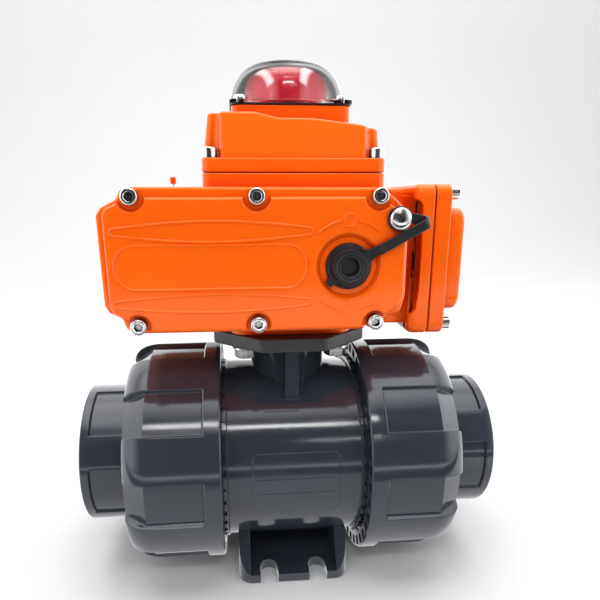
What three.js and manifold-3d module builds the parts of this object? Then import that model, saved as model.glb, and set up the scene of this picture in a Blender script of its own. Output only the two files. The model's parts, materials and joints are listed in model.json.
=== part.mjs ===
// A motorised true-union ball valve: a quarter-turn electric actuator bolted on a plastic valve.
// Millimetres, +Z up. The origin is on the stem axis, at the underside of the valve's foot.
// X runs along the pipe and -Y is the front, where the actuator's gearbox cover is.
import * as THREE from "three";
import { mergeVertices } from "three/addons/utils/BufferGeometryUtils.js";
import Module from "manifold-3d";

const wasm = await Module();
wasm.setup();

// ---------------------------------------------------------------- driving dimensions

const gap = 0.3; // clearance between pieces that are cut to fit each other
const runningGap = 0.4; // clearance around a shaft or a slide that moves
const largeRound = 32; // sides of the barrel and of the union nuts
const middleRound = 24; // sides of the other large turned pieces
const smallRound = 14; // sides of a small turned piece
const holeRound = 8; // sides of a fastener and of its hole

const pipe = { axisHeight: 77, flowRadius: 32.5, socketRadius: 37.5, socketDepth: 43.5, end: 133.4 };

const body = {
  middleRadius: 60,
  middleHalf: 43.5,
  threadRadius: 62,
  end: 76,
  chamberRadius: 47.5,
  retainerBore: 49,
  neckRadius: 24.5,
  stemBore: 12.4,
};

const foot = { halfWidth: 36, halfDepth: 52.3, height: 6.5, corner: 9, wall: 7.5, slotHalf: 5.9 };
foot.slotX = 16.3;
foot.slotDepth = 16;

const ball = { radius: 46, bore: 31.5, slotHalf: 4.3, slotFloor: 37 };
const seat = { inner: 32.2, outer: 42, from: 26, to: 36 };
const sealGroove = { inner: 51, outer: 57, depth: 4.4, ringRadius: 54, section: 2.1 };

const nut = { radius: 73.6, bore: 62.6, rear: 44.5, flangeEnd: 55, corner: 90, nose: 103.6 };
nut.noseRadius = 63;
nut.noseBore = 47.2;
nut.panelDrop = 2.3;
nut.panels = 16; // raised and sunken panels take turns around the nut
nut.firstPanelEdge = 7.5; // degrees up from the front

const connector = { flangeRadius: 61.8, flangeBack: 88.4, radius: 46 };

const plate = { bottom: 158, top: 166.5, apothem: 48.5, stemHole: 14, boltAt: 28.3 };
const basePad = { half: 38, corner: 12 }; // the raised pad of the casting that rests on the plate

// The gear case. Its front outline has cut corners, and its lower left corner clears a screw.
const gearCase = { left: -104, right: 61.2, bottom: 175, top: 253.4, front: -60, back: 60 };
const room = { left: -98, right: 57.4, back: 55, bottom: 179, top: 248 }; // inside the gear case
const topFlange = { halfX: 50.3, halfY: 52, top: 260.3 };
const hatch = { lower: 35, upper: 41.5 }; // half sizes of the stepped opening under the top cover

const terminal = { neckHalf: 34, from: 71.6, face: 84.2, halfY: 40, bottom: 166, top: 254.4, corner: 6 };
terminal.coverFlange = 94.1;
terminal.bulge = 105.9;

const coverRim = { left: -104, right: 61, bottom: 175.6, top: 252.4 };
const coverPanel = { left: -100.6, right: 60, bottom: 176.4, top: 247.8 };
const cover = { back: -60.3, rim: -64, face: -66.7, wellFloor: -63 };
const coverScrewX = [-86.3, -21.5, 43.7];
const coverScrewZ = [248, 180];

// The gear train. All its axes are at one height, and those of the spur gears run along Y.
const gears = { height: 211, wheelModule: 1.5, wheelTeeth: 26, wormRadius: 8.5, spurModule: 2 };
gears.wheelRadius = (gears.wheelModule * gears.wheelTeeth) / 2;
gears.lead = Math.PI * gears.wheelModule;
gears.driven = { teeth: 26, x: gears.wheelRadius + gears.wormRadius };
gears.idler = { teeth: 24 };
gears.idler.x = gears.driven.x - (gears.spurModule * (gears.driven.teeth + gears.idler.teeth)) / 2;
gears.pinion = { teeth: 10 };
gears.pinion.x = gears.idler.x - (gears.spurModule * (gears.idler.teeth + gears.pinion.teeth)) / 2;
gears.front = 33;
gears.back = 41;

const gearPlate = { front: 26, back: 30 };
const plug = { x: gears.driven.x, z: gears.height, flange: 12.2, cap: 10, stem: 8, well: 15 };
const strap = { width: 5.2, back: -67, front: -69.3, eye: 7 };
strap.line = [[39.4, 217.4], [50.8, 221.9], [68.4, 232.6], [54.4, 236.2]]; // from the plug to the screw
strap.anchor = strap.line.at(-1);

const lid = { top: 297.2, roof: 282, flangeTop: 267.9, inner: 41.5, boltAt: 46, pedestal: 33.6 };
lid.arm = 41; // half width of the lid's body between its bolt corners
const dome = { base: 297.2, flangeTop: 300, radius: 34.4, straightTop: 300.6, top: 322.9, wall: 2.5 };
dome.crownRadius = 18;
dome.screwAt = 28.4;
const drum = { radius: 25, bottom: 300.6, shoulder: 307, top: 318.6, crown: 15.5 };

// ---------------------------------------------------------------- joining and cutting

/** A closed three.js geometry as a solid that can be joined and cut. */
function toSolid(geometry) {
  const bare = geometry.clone();
  bare.deleteAttribute("normal");
  bare.deleteAttribute("uv");
  const merged = mergeVertices(bare, 1e-4);
  const corners = merged.index.array;
  const triangles = [];
  for (let i = 0; i < corners.length; i += 3) {
    const [a, b, c] = corners.slice(i, i + 3);
    if (a !== b && b !== c && c !== a) triangles.push(a, b, c);
  }
  const vertProperties = new Float32Array(merged.attributes.position.array);
  const triVerts = new Uint32Array(triangles);
  return new wasm.Manifold(new wasm.Mesh({ numProp: 3, vertProperties, triVerts }));
}

function toGeometry(solid) {
  const { vertProperties, triVerts } = solid.getMesh();
  const geometry = new THREE.BufferGeometry();
  geometry.setAttribute("position", new THREE.BufferAttribute(new Float32Array(vertProperties), 3));
  geometry.setIndex(new THREE.BufferAttribute(new Uint32Array(triVerts), 1));
  geometry.computeVertexNormals();
  return geometry;
}

function join(first, ...others) {
  return toGeometry(others.reduce((solid, other) => solid.add(toSolid(other)), toSolid(first)));
}

function overlapOf(first, second) {
  return toGeometry(toSolid(first).intersect(toSolid(second)));
}

function cut(first, ...tools) {
  return toGeometry(tools.reduce((solid, tool) => solid.subtract(toSolid(tool)), toSolid(first)));
}

// ---------------------------------------------------------------- basic shapes

const X = new THREE.Vector3(1, 0, 0);
const Y = new THREE.Vector3(0, 1, 0);
const Z = new THREE.Vector3(0, 0, 1);

/** An outline's own axes and its thickness, for a flat piece that is thick along x, y or z. */
const flatOn = {
  x: new THREE.Matrix4().makeBasis(Y, Z, X),
  y: new THREE.Matrix4().makeBasis(X, Z, Y.clone().negate()),
  z: new THREE.Matrix4(),
};

function block(x0, x1, y0, y1, z0, z1) {
  const box = new THREE.BoxGeometry(x1 - x0, y1 - y0, z1 - z0);
  return box.translate((x0 + x1) / 2, (y0 + y1) / 2, (z0 + z1) / 2);
}

/** Turns a geometry whose axis is Y so that its axis is the named one. */
function alongAxis(geometry, axis) {
  if (axis === "z") geometry.rotateX(Math.PI / 2);
  if (axis === "x") geometry.rotateZ(-Math.PI / 2);
  return geometry;
}

/** A plain round bar from one place to another along an axis, centred on `at`. */
function bar(radius, from, to, axis, at = [0, 0, 0], sides = smallRound) {
  const cylinder = new THREE.CylinderGeometry(radius, radius, to - from, sides);
  cylinder.translate(0, (from + to) / 2, 0);
  return alongAxis(cylinder, axis).translate(...at);
}

/** A fastener's hole, as the piece to take away. */
function drilled(radius, from, to, axis, at) {
  return bar(radius, from, to, axis, at, holeRound);
}

/** A turned piece. Its profile is a list of [radius, place along the axis], in either direction. */
function turned(profile, axis, at = [0, 0, 0], sides = middleRound) {
  const points = profile.map(([radius, along]) => new THREE.Vector2(radius, along));
  if (THREE.ShapeUtils.area(points) < 0) points.reverse();
  const onAxis = points[0].x === 0 && points.at(-1).x === 0;
  if (!onAxis) points.push(points[0].clone());
  return alongAxis(new THREE.LatheGeometry(points, sides), axis).translate(...at);
}

/** A flat piece cut to an outline, thick from one place to another along an axis. */
function flat(outline, from, to, axis, arcSteps = 3) {
  const ready = outline instanceof THREE.Shape;
  const shape = ready ? outline : new THREE.Shape(outline.map((point) => new THREE.Vector2(...point)));
  const depth = to - from;
  const piece = new THREE.ExtrudeGeometry(shape, { depth, bevelEnabled: false, curveSegments: arcSteps });
  piece.applyMatrix4(flatOn[axis]);
  const start = axis === "y" ? to : from;
  return piece.translate(...{ x: [start, 0, 0], y: [0, start, 0], z: [0, 0, start] }[axis]);
}

/** A rectangle with round corners, from its lowest and highest corners. */
function roundedBox(left, right, bottom, top, radius) {
  const shape = new THREE.Shape();
  shape.absarc(right - radius, top - radius, radius, 0, Math.PI / 2);
  shape.absarc(left + radius, top - radius, radius, Math.PI / 2, Math.PI);
  shape.absarc(left + radius, bottom + radius, radius, Math.PI, 1.5 * Math.PI);
  shape.absarc(right - radius, bottom + radius, radius, 1.5 * Math.PI, 2 * Math.PI);
  return shape;
}

/** The four places (±x, ±y), taken round the rectangle. */
function fourCorners(x, y) {
  return [[-x, -y], [x, -y], [x, y], [-x, y]];
}

const materials = {
  paint: { color: 0xf25a05, roughness: 0.35, metalness: 0 },
  plastic: { color: 0x3a4048, roughness: 0.3, metalness: 0 },
  blackPlate: { color: 0x17181a, roughness: 0.7, metalness: 0 },
  rubber: { color: 0x101112, roughness: 0.8, metalness: 0 },
  steel: { color: 0xb9bcc0, roughness: 0.3, metalness: 1 },
  brass: { color: 0xb08d45, roughness: 0.4, metalness: 1 },
  seatWhite: { color: 0xe9e9e4, roughness: 0.5, metalness: 0 },
  smoked: { color: 0x55585c, roughness: 0.1, metalness: 0 },
  red: { color: 0xc02838, roughness: 0.35, metalness: 0 },
  board: { color: 0x1f6b3a, roughness: 0.5, metalness: 0 },
  switchBlack: { color: 0x222326, roughness: 0.5, metalness: 0 },
};

/** A named mesh, with its own copy of a finish, at a place in its group. */
function piece(name, geometry, finish, at = [0, 0, 0]) {
  const mesh = new THREE.Mesh(geometry, new THREE.MeshStandardMaterial(materials[finish]));
  mesh.name = name;
  mesh.position.set(...at);
  return mesh;
}

// ---------------------------------------------------------------- the valve
// Inside this group, the origin is where the stem axis crosses the pipe axis.

/** The moulding's outside, turned around the pipe axis: a plain middle and two threaded ends. */
function barrel() {
  const { middleRadius, middleHalf, threadRadius, end } = body;
  return turned([
    [0, -end],
    [threadRadius, -end],
    [threadRadius, -middleHalf],
    [middleRadius, -middleHalf],
    [middleRadius, middleHalf],
    [threadRadius, middleHalf],
    [threadRadius, end],
    [0, end],
  ], "x", [0, 0, 0], largeRound);
}

/** What is hollow inside: the left seat's pocket, the ball's chamber and the retainer's bore. */
function chamber() {
  const seatPocket = seat.outer + gap;
  return turned([
    [0, -body.end - 1],
    [pipe.flowRadius, -body.end - 1],
    [pipe.flowRadius, -seat.to - gap],
    [seatPocket, -seat.to - gap],
    [seatPocket, -seat.from],
    [body.chamberRadius, -seat.from],
    [body.chamberRadius, seat.from],
    [body.retainerBore, seat.from],
    [body.retainerBore, body.end + 1],
    [0, body.end + 1],
  ], "x");
}

function endGroove(side) {
  const floor = side * (body.end - sealGroove.depth);
  const outside = side * (body.end + 1);
  return turned([
    [sealGroove.inner, floor],
    [sealGroove.outer, floor],
    [sealGroove.outer, outside],
    [sealGroove.inner, outside],
  ], "x");
}

/** The neck that carries the actuator, with a column and a web at its front and back. */
function neck() {
  const top = plate.bottom - pipe.axisHeight;
  const column = block(-9.5, 9.5, -22, 22, 40, top);
  const web = block(-4.4, 4.4, -37, 37, 40, top);
  return join(bar(body.neckRadius, 40, top, "z", [0, 0, 0], middleRound), column, web);
}

/** The foot: a slotted base plate, two side walls and a web between them. */
function footBlock() {
  const { halfWidth, halfDepth, height, corner, wall, slotHalf, slotX, slotDepth } = foot;
  const floor = -pipe.axisHeight;
  const shoulder = 37; // where a side wall's sloping edge meets the barrel
  const wallTop = -43;
  const side = [
    [-halfDepth, floor], [halfDepth, floor], [halfDepth, floor + height],
    [shoulder, wallTop], [-shoulder, wallTop], [-halfDepth, floor + height],
  ];
  const plan = roundedBox(-halfWidth, halfWidth, -halfDepth, halfDepth, corner);
  const base = flat(plan, floor, floor + height, "z");
  const walls = [-halfWidth, halfWidth - wall].map((x) => flat(side, x, x + wall, "x"));
  const web = block(-halfWidth + 1, halfWidth - 1, -4, 4, floor + 1, -40);
  const slots = [];
  for (const x of [-slotX, slotX]) {
    for (const end of [-1, 1]) {
      const centre = end * (halfDepth - slotDepth + slotHalf);
      const outside = end * (halfDepth + 1);
      slots.push(bar(slotHalf, floor - 1, floor + height + 1, "z", [x, centre, 0], holeRound));
      slots.push(block(x - slotHalf, x + slotHalf, Math.min(centre, outside), Math.max(centre, outside),
        floor - 1, floor + height + 1));
    }
  }
  const blank = overlapOf(join(base, ...walls, web), flat(plan, floor - 1, -30, "z"));
  return cut(blank, ...slots);
}

function valveBody() {
  const stemCollarTop = 52;
  const outside = join(barrel(), neck(), footBlock());
  return cut(
    outside,
    chamber(),
    endGroove(-1),
    endGroove(1),
    bar(body.stemBore, 30, 90, "z"),
    bar(15.5, 30, stemCollarTop, "z"),
  );
}

/** The ball: turned around its bore, with a slot across its top for the stem's tang. */
function ballSolid() {
  const faceAt = Math.sqrt(ball.radius ** 2 - ball.bore ** 2);
  const faceAngle = Math.asin(faceAt / ball.radius);
  const steps = 8;
  const profile = [];
  for (let i = 0; i <= steps; i += 1) {
    const angle = faceAngle * ((2 * i) / steps - 1);
    profile.push([ball.radius * Math.cos(angle), ball.radius * Math.sin(angle)]);
  }
  profile.push([ball.bore, faceAt - 0.01], [ball.bore, -faceAt + 0.01]);
  const slot = block(-ball.slotHalf, ball.slotHalf, -30, 30, ball.slotFloor, 60);
  return cut(turned(profile, "x"), slot);
}

/** A seat ring. Its edge towards the ball is a cone that lies just off the ball's surface. */
function seatRing(side) {
  const { inner, outer, from, to } = seat;
  const reach = ball.radius + gap; // how near the cone comes to the ball's centre
  const slope = Math.PI / 4;
  const coneAt = (radius) => (reach - radius * Math.sin(slope)) / Math.cos(slope);
  const coneEdge = (reach - from * Math.cos(slope)) / Math.sin(slope);
  return turned([
    [inner, side * coneAt(inner)],
    [coneEdge, side * from],
    [outer, side * from],
    [outer, side * to],
    [inner, side * to],
  ], "x");
}

/** The screwed ring that holds the right seat against the ball. */
function retainerRing() {
  const outer = body.retainerBore - gap;
  const pocket = seat.outer + gap;
  return turned([
    [pocket, seat.from + gap],
    [outer, seat.from + gap],
    [outer, body.end - 0.5],
    [pipe.flowRadius, body.end - 0.5],
    [pipe.flowRadius, seat.to + gap],
    [pocket, seat.to + gap],
  ], "x");
}

function faceSeal(side) {
  const ring = new THREE.TorusGeometry(sealGroove.ringRadius, sealGroove.section, 5, middleRound);
  return ring.rotateY(Math.PI / 2).translate(side * (body.end - sealGroove.section - 0.1), 0, 0);
}

/** The stem: a tang in the ball, a collar that can't blow out, a round part and a square top. */
function stem() {
  const squareHalf = 7;
  const squareTop = 180 - pipe.axisHeight;
  const round = turned([
    [0, 46.6], [15, 46.6], [15, 51.6], [12, 51.6], [12, 81.5], [0, 81.5],
  ], "z");
  const tang = block(-4, 4, -12, 12, ball.slotFloor + 0.5, 48);
  return join(round, tang, block(-squareHalf, squareHalf, -squareHalf, squareHalf, 80, squareTop));
}

/** An end connector: a flange inside the nut, then a plain socket for the pipe. */
function endConnector(side) {
  const inner = body.end + gap;
  return turned([
    [pipe.flowRadius, side * inner],
    [connector.flangeRadius, side * inner],
    [connector.flangeRadius, side * connector.flangeBack],
    [connector.radius, side * connector.flangeBack],
    [connector.radius, side * pipe.end],
    [pipe.socketRadius, side * pipe.end],
    [pipe.socketRadius, side * (pipe.end - pipe.socketDepth)],
    [pipe.flowRadius, side * (pipe.end - pipe.socketDepth)],
  ], "x");
}

/** One sunken panel of a union nut, as the piece to take away: a sector outside its floor. */
function sunkenPanel(side, startDegrees) {
  const step = 360 / largeRound;
  const steps = 360 / nut.panels / step;
  const innerArc = [];
  const outerArc = [];
  for (let i = 0; i <= steps; i += 1) {
    const angle = THREE.MathUtils.degToRad(startDegrees + i * step);
    const direction = [-Math.cos(angle), Math.sin(angle)];
    innerArc.push(direction.map((part) => part * (nut.radius - nut.panelDrop)));
    outerArc.unshift(direction.map((part) => part * (nut.radius + 5)));
  }
  const ends = [side * nut.flangeEnd, side * (nut.nose + 1)];
  return flat([...innerArc, ...outerArc], Math.min(...ends), Math.max(...ends), "x");
}

/** A union nut: a threaded ring with a rear flange, gripping panels and a nose behind the connector. */
function unionNut(side) {
  const shoulder = connector.flangeBack + gap;
  const blank = turned([
    [nut.bore, side * nut.rear],
    [nut.radius, side * nut.rear],
    [nut.radius, side * nut.corner],
    [nut.noseRadius, side * nut.nose],
    [nut.noseBore, side * nut.nose],
    [nut.noseBore, side * shoulder],
    [nut.bore, side * shoulder],
  ], "x", [0, 0, 0], largeRound);
  const panels = [];
  for (let i = 0; i < nut.panels / 2; i += 1) {
    const start = nut.firstPanelEdge + (360 / nut.panels) * (2 * i + 1);
    panels.push(sunkenPanel(side, start));
  }
  return cut(blank, ...panels);
}

/** The octagonal plate between the valve's neck and the actuator. */
function mountingPlate() {
  const corner = plate.apothem * Math.tan(Math.PI / 8);
  const a = plate.apothem;
  const outline = [
    [-corner, -a], [corner, -a], [a, -corner], [a, corner],
    [corner, a], [-corner, a], [-a, corner], [-a, -corner],
  ];
  const { bottom, top, stemHole, boltAt } = plate;
  const holes = fourCorners(boltAt, boltAt).map(([x, y]) => drilled(4, bottom - 1, top + 1, "z", [x, y, 0]));
  return cut(flat(outline, bottom, top, "z"), bar(stemHole, bottom - 1, top + 1, "z"), ...holes);
}

// ---------------------------------------------------------------- fasteners
// Each is turned around its own axis, with the underside of its head at zero and the shank below.

function bolt(headRadius, headHeight, shankRadius, shankLength) {
  return turned([
    [0, -shankLength], [shankRadius, -shankLength], [shankRadius, 0],
    [headRadius, 0], [headRadius, headHeight], [0, headHeight],
  ], "z", [0, 0, 0], holeRound);
}

/** Adds one bolt at each place, with its head towards the given direction. */
function fastenAt(group, name, geometry, places, heading, finish = "steel") {
  places.forEach((place, index) => {
    const mesh = piece(`${name}_${index + 1}`, geometry.clone(), finish, place);
    mesh.quaternion.setFromUnitVectors(Z, heading);
    group.add(mesh);
  });
}

// ---------------------------------------------------------------- the actuator's case

/** The case's front outline: a rectangle whose corners are cut back past the corner screws. */
function caseOutline({ left, right, bottom, top }) {
  return [
    [left + 13, bottom], [right - 12, bottom], [right - 11, bottom + 6], [right - 3, bottom + 8],
    [right, bottom + 12], [right, top - 12], [right - 15, top], [left + 14, top],
    [left + 10, top - 6], [left, top - 13], [left, bottom + 14], [left + 9, bottom + 8],
  ];
}

function coverScrewPlaces(y) {
  return coverScrewZ.flatMap((z) => coverScrewX.map((x) => [x, y, z]));
}

/** The outside of the main casting: gear case, base pad, top flange, terminal neck and flange. */
function housingOutside() {
  const { neckHalf, from, face, halfY, bottom, top, corner } = terminal;
  const shell = flat(caseOutline(gearCase), gearCase.front, gearCase.back, "y");
  const { half, corner: padCorner } = basePad;
  const pad = flat(roundedBox(-half, half, -half, half, padCorner), plate.top, gearCase.bottom + 1, "z");
  const { halfX, halfY: flangeY, top: flangeTop } = topFlange;
  const flange = flat(roundedBox(-halfX, halfX, -flangeY, flangeY, 5), gearCase.top - 3, flangeTop, "z", 2);
  const terminalNeck = block(gearCase.right - 3, from + 1, -neckHalf, neckHalf, gearCase.bottom + 1, 248);
  const terminalFlange = flat(roundedBox(-halfY, halfY, bottom, top, corner), from, face, "x");
  const lug = block(-79, -75, 45, 55, gearCase.top - 2, 262);
  return join(shell, pad, flange, terminalNeck, terminalFlange, lug);
}

/** The rooms inside the casting and the openings that lead into them. */
function housingRooms() {
  const { right, back, bottom, top } = room;
  return [
    flat(caseOutline(room), gearCase.front - 1, back, "y"),
    block(-hatch.lower, hatch.lower, -hatch.lower, hatch.lower, top - 1, gearCase.top + 1),
    block(-hatch.upper, hatch.upper, -hatch.upper, hatch.upper, gearCase.top, topFlange.top + 1),
    block(right - 1, terminal.face + 1, -28, 28, 182, 240),
    bar(15.6, plate.top - 1, bottom + 1, "z"),
  ];
}

/** The bosses behind the front cover's screws. */
function screwBosses() {
  const { front } = gearCase;
  return coverScrewPlaces(0).map((place) => bar(4.9, front, front + 16, "y", place, holeRound));
}

const coverBoltPlaces = fourCorners(lid.boltAt, lid.boltAt);
const terminalBolts = fourCorners(32, 1).map(([y, upper]) => [y, upper > 0 ? 249.6 : 170.6]);
const cableEntries = [[42, 195], [42, 227]]; // x and z of the two cable entries in the back wall

function housingHoles() {
  const screw = coverScrewPlaces(0).map((place) => drilled(2.8, -61, -45, "y", place));
  const topBolt = coverBoltPlaces.map(([x, y]) => drilled(2.6, 250, 262, "z", [x, y, 0]));
  const sideBolt = terminalBolts.map(([y, z]) => drilled(2.6, 70, 85, "x", [0, y, z]));
  const { boltAt, top } = plate;
  const baseBolt = fourCorners(boltAt, boltAt).map(([x, y]) => drilled(4, top - 1, 176.5, "z", [x, y, 0]));
  const entry = cableEntries.map(([x, z]) => bar(9.8, 54, 61, "y", [x, 0, z]));
  return [...screw, ...topBolt, ...sideBolt, ...baseBolt, ...entry];
}

function housing() {
  const hollow = cut(housingOutside(), ...housingRooms());
  return cut(join(hollow, ...screwBosses()), ...housingHoles());
}

/** The front cover: a rim plate, a raised panel scalloped around the screws, and a bearing boss. */
function frontCover() {
  const { back, rim, face, wellFloor } = cover;
  const at = [plug.x, 0, plug.z];
  const outside = face - 1;
  const rimPlate = flat(caseOutline(coverRim), rim, back, "y");
  const panel = flat(caseOutline(coverPanel), face, rim + 1, "y");
  const scallops = coverScrewPlaces(0).map((place) => bar(7.6, outside, rim, "y", place));
  const boss = bar(13, back - 1, -47, "y", at);
  const screwHoles = coverScrewPlaces(0).map((place) => drilled(2.8, outside, -58, "y", place));
  const handDrive = bar(plug.stem + runningGap, outside, -40, "y", at);
  const well = bar(plug.well, outside, wellFloor, "y", at, middleRound);
  const strapHole = drilled(2.1, outside, -58, "y", [strap.anchor[0], 0, strap.anchor[1]]);
  return cut(join(rimPlate, cut(panel, ...scallops), boss), ...screwHoles, handDrive, well, strapHole);
}

/** The top cover's body: sloping sides and a roof that falls to the right, with four bolt corners cut out. */
function lidBody() {
  const { flangeTop, arm } = lid;
  const low = flangeTop - 1;
  const across = [
    [-50, low], [-46.6, 291.7], [-21.5, 291.7], [-8, 288.8],
    [10, 288.8], [31, 286.4], [47.3, 284], [50, low],
  ];
  const deep = [[-49.5, low], [-45.5, 293], [45.5, 293], [49.5, low]];
  const whole = overlapOf(flat(across, -50, 50, "y"), flat(deep, -50, 50, "x"));
  const corners = fourCorners(1, 1).map(([x, y]) => {
    const across0 = [x * arm, x * 60].sort((a, b) => a - b);
    const deep0 = [y * arm, y * 60].sort((a, b) => a - b);
    return block(...across0, ...deep0, flangeTop, 300);
  });
  return cut(whole, ...corners);
}

/** The top cover: a bolted flange under its body, and a pedestal for the window. */
function topCover() {
  const { flangeTop, top, roof, inner, pedestal, arm } = lid;
  const { halfX, halfY, top: base } = topFlange;
  const flange = flat(roundedBox(-halfX, halfX, -halfY, halfY, 5), base + gap, flangeTop, "z", 2);
  const seat = flat(roundedBox(-pedestal, pedestal, -pedestal, pedestal, 4), roof - 1, top, "z", 2);
  const wall = 4;
  const lower = block(-inner, inner, -inner, inner, base - 1, flangeTop - wall);
  const armX = block(-inner, inner, wall - arm, arm - wall, flangeTop - wall - 1, 279);
  const armY = block(wall - arm, arm - wall, -inner, inner, flangeTop - wall - 1, roof);
  const shaftHole = bar(12, roof - 1, top + 1, "z");
  const boltHoles = coverBoltPlaces.map(([x, y]) => drilled(2.6, base - 1, flangeTop + 1, "z", [x, y, 0]));
  const { screwAt } = dome;
  const screwHoles = fourCorners(screwAt, screwAt).map(([x, y]) => drilled(2, 286, top + 1, "z", [x, y, 0]));
  return cut(join(flange, lidBody(), seat), lower, armX, armY, shaftHole, ...boltHoles, ...screwHoles);
}

/** A crown that leaves a straight wall and curves in to a flat top, as [radius, height] pairs. */
function crownProfile(radius, straightTop, crownRadius, top, steps) {
  const points = [];
  for (let i = 0; i <= steps; i += 1) {
    const angle = (Math.PI / 2) * (i / steps);
    const out = crownRadius + (radius - crownRadius) * Math.cos(angle);
    points.push([out, straightTop + (top - straightTop) * Math.sin(angle)]);
  }
  return points;
}

/** The clear window over the position indicator. */
function indicatorDome() {
  const { base, flangeTop, radius, straightTop, top, wall, crownRadius, screwAt } = dome;
  const half = 34.7;
  const flange = flat(roundedBox(-half, half, -half, half, 5), base + gap, flangeTop, "z", 2);
  const shell = (inset, bottom) => turned([
    [0, bottom], [radius - inset, bottom],
    ...crownProfile(radius - inset, straightTop, crownRadius, top - inset, 4), [0, top - inset],
  ], "z");
  const outside = join(flange, shell(0, base + 1));
  const places = fourCorners(screwAt, screwAt);
  const holes = places.map(([x, y]) => drilled(2, base - 1, flangeTop + 1, "z", [x, y, 0]));
  return cut(outside, shell(wall, base - 1), ...holes);
}

/** The cover of the wiring chamber at the actuator's right-hand end. */
function terminalCover() {
  const { face, halfY, bottom, top, corner, coverFlange, bulge } = terminal;
  const flange = flat(roundedBox(-halfY, halfY, bottom, top, corner), face + gap, coverFlange, "x");
  const swell = flat(roundedBox(-34, 34, 180, 242, 9), coverFlange - 1, bulge, "x");
  const inside = block(face - 1, bulge - 4, -29, 29, 185, 237);
  const holes = terminalBolts.map(([y, z]) => drilled(2.6, face - 1, coverFlange + 1, "x", [0, y, z]));
  return cut(join(flange, swell), inside, ...holes);
}

/** The strap that keeps the rubber plug: flat runs with a sharp bend, and an eye at the screw. */
function overrideStrap() {
  const { line, width, front, back, eye, anchor } = strap;
  const runs = line.slice(1).map(([toX, toZ], index) => {
    const [fromX, fromZ] = line[index];
    const along = new THREE.Vector2(toX - fromX, toZ - fromZ).normalize();
    const side = new THREE.Vector2(-along.y, along.x).multiplyScalar(width / 2);
    return flat([
      [fromX + side.x, fromZ + side.y], [fromX - side.x, fromZ - side.y],
      [toX - side.x, toZ - side.y], [toX + side.x, toZ + side.y],
    ], front, back, "y");
  });
  const bends = line.slice(1, -1).map(([x, z]) => bar(width / 2, front, back, "y", [x, 0, z], holeRound));
  const at = [anchor[0], 0, anchor[1]];
  const whole = join(bar(eye, front, back, "y", at), ...runs, ...bends);
  return cut(whole, drilled(2.1, front - 1, back + 1, "y", at));
}

/** The rubber plug over the hand drive: a stem in the cover, a flange in the well and a hollow cap. */
function overridePlug() {
  const { stem, flange, cap, x, z } = plug;
  return turned([
    [0, -59], [stem, -59], [stem, -63.3], [flange, -63.3], [flange, -65.6], [cap, -65.6],
    [cap, -71.2], [5.2, -71.2], [4.6, -66.5], [0, -66.5],
  ], "y", [x, 0, z], smallRound);
}

// ---------------------------------------------------------------- the drive inside

/** A gear's outline, with straight-sided teeth that leave a little play. */
function gearOutline(teeth, module, toothAtStart) {
  const pitchRadius = (teeth * module) / 2;
  const root = pitchRadius - 1.25 * module;
  const tip = pitchRadius + 0.9 * module;
  const pitch = (2 * Math.PI) / teeth;
  const profile = [[-0.31, root], [-0.12, tip], [0.12, tip], [0.31, root]];
  const outline = [];
  for (let i = 0; i < teeth; i += 1) {
    const middle = (i + (toothAtStart ? 0 : 0.5)) * pitch;
    for (const [offset, radius] of profile) {
      const angle = middle + offset * pitch;
      outline.push([radius * Math.cos(angle), radius * Math.sin(angle)]);
    }
  }
  return outline;
}

/** Twists a geometry around Z, by an angle for each millimetre above a height. */
function twist(geometry, anglePerMm, height) {
  const places = geometry.attributes.position;
  const point = new THREE.Vector3();
  for (let i = 0; i < places.count; i += 1) {
    point.fromBufferAttribute(places, i);
    point.applyAxisAngle(Z, anglePerMm * (point.z - height));
    places.setXYZ(i, point.x, point.y, point.z);
  }
  return geometry;
}

function spurGear({ teeth, x }, toothAtStart, bore) {
  const gear = flat(gearOutline(teeth, gears.spurModule, toothAtStart), gears.front, gears.back, "y");
  gear.translate(x, 0, gears.height);
  return bore ? cut(gear, bar(bore, gears.front - 1, gears.back + 1, "y", [x, 0, gears.height])) : gear;
}

/** The worm's thread: a right-handed ridge around Y, closed at both ends. */
function wormThread() {
  const turns = 4;
  const stepsPerTurn = 14;
  const { lead, wormRadius, wheelModule } = gears;
  const section = [
    [wormRadius - 1.3 * wheelModule, -1.5], [wormRadius + 0.9 * wheelModule, -0.55],
    [wormRadius + 0.9 * wheelModule, 0.55], [wormRadius - 1.3 * wheelModule, 1.5],
  ];
  const facingWheel = -Math.PI / 2;
  const positions = [];
  const steps = turns * stepsPerTurn;
  for (let i = 0; i <= steps; i += 1) {
    const turn = (i - steps / 2) / stepsPerTurn;
    const angle = facingWheel + 2 * Math.PI * turn;
    for (const [radius, across] of section) {
      positions.push(radius * Math.sin(angle), lead * (turn + 0.5) + across, radius * Math.cos(angle));
    }
  }
  const index = [0, 1, 2, 0, 2, 3];
  for (let i = 0; i < steps; i += 1) {
    for (let j = 0; j < 4; j += 1) {
      const a = 4 * i + j;
      const b = 4 * i + ((j + 1) % 4);
      index.push(a, a + 4, b + 4, a, b + 4, b);
    }
  }
  const last = 4 * steps;
  index.push(last, last + 2, last + 1, last, last + 3, last + 2);
  const ridge = new THREE.BufferGeometry();
  ridge.setAttribute("position", new THREE.Float32BufferAttribute(positions, 3));
  ridge.setIndex(index);
  return ridge.translate(gears.driven.x, 0, gears.height);
}

/** The worm on its shaft, with a hexagonal socket at the front for a hand key. */
function wormShaft() {
  const at = [gears.driven.x, 0, gears.height];
  const core = turned([
    [0, -57], [plug.stem, -57], [plug.stem, -44], [6.9, -44], [6.9, 24], [5.8, 24],
    [5.8, 31], [5, 31], [5, 50], [0, 50],
  ], "y", at, smallRound);
  const key = bar(4.6, -58, -49, "y", at, 6);
  return cut(join(core, wormThread()), key);
}

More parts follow.
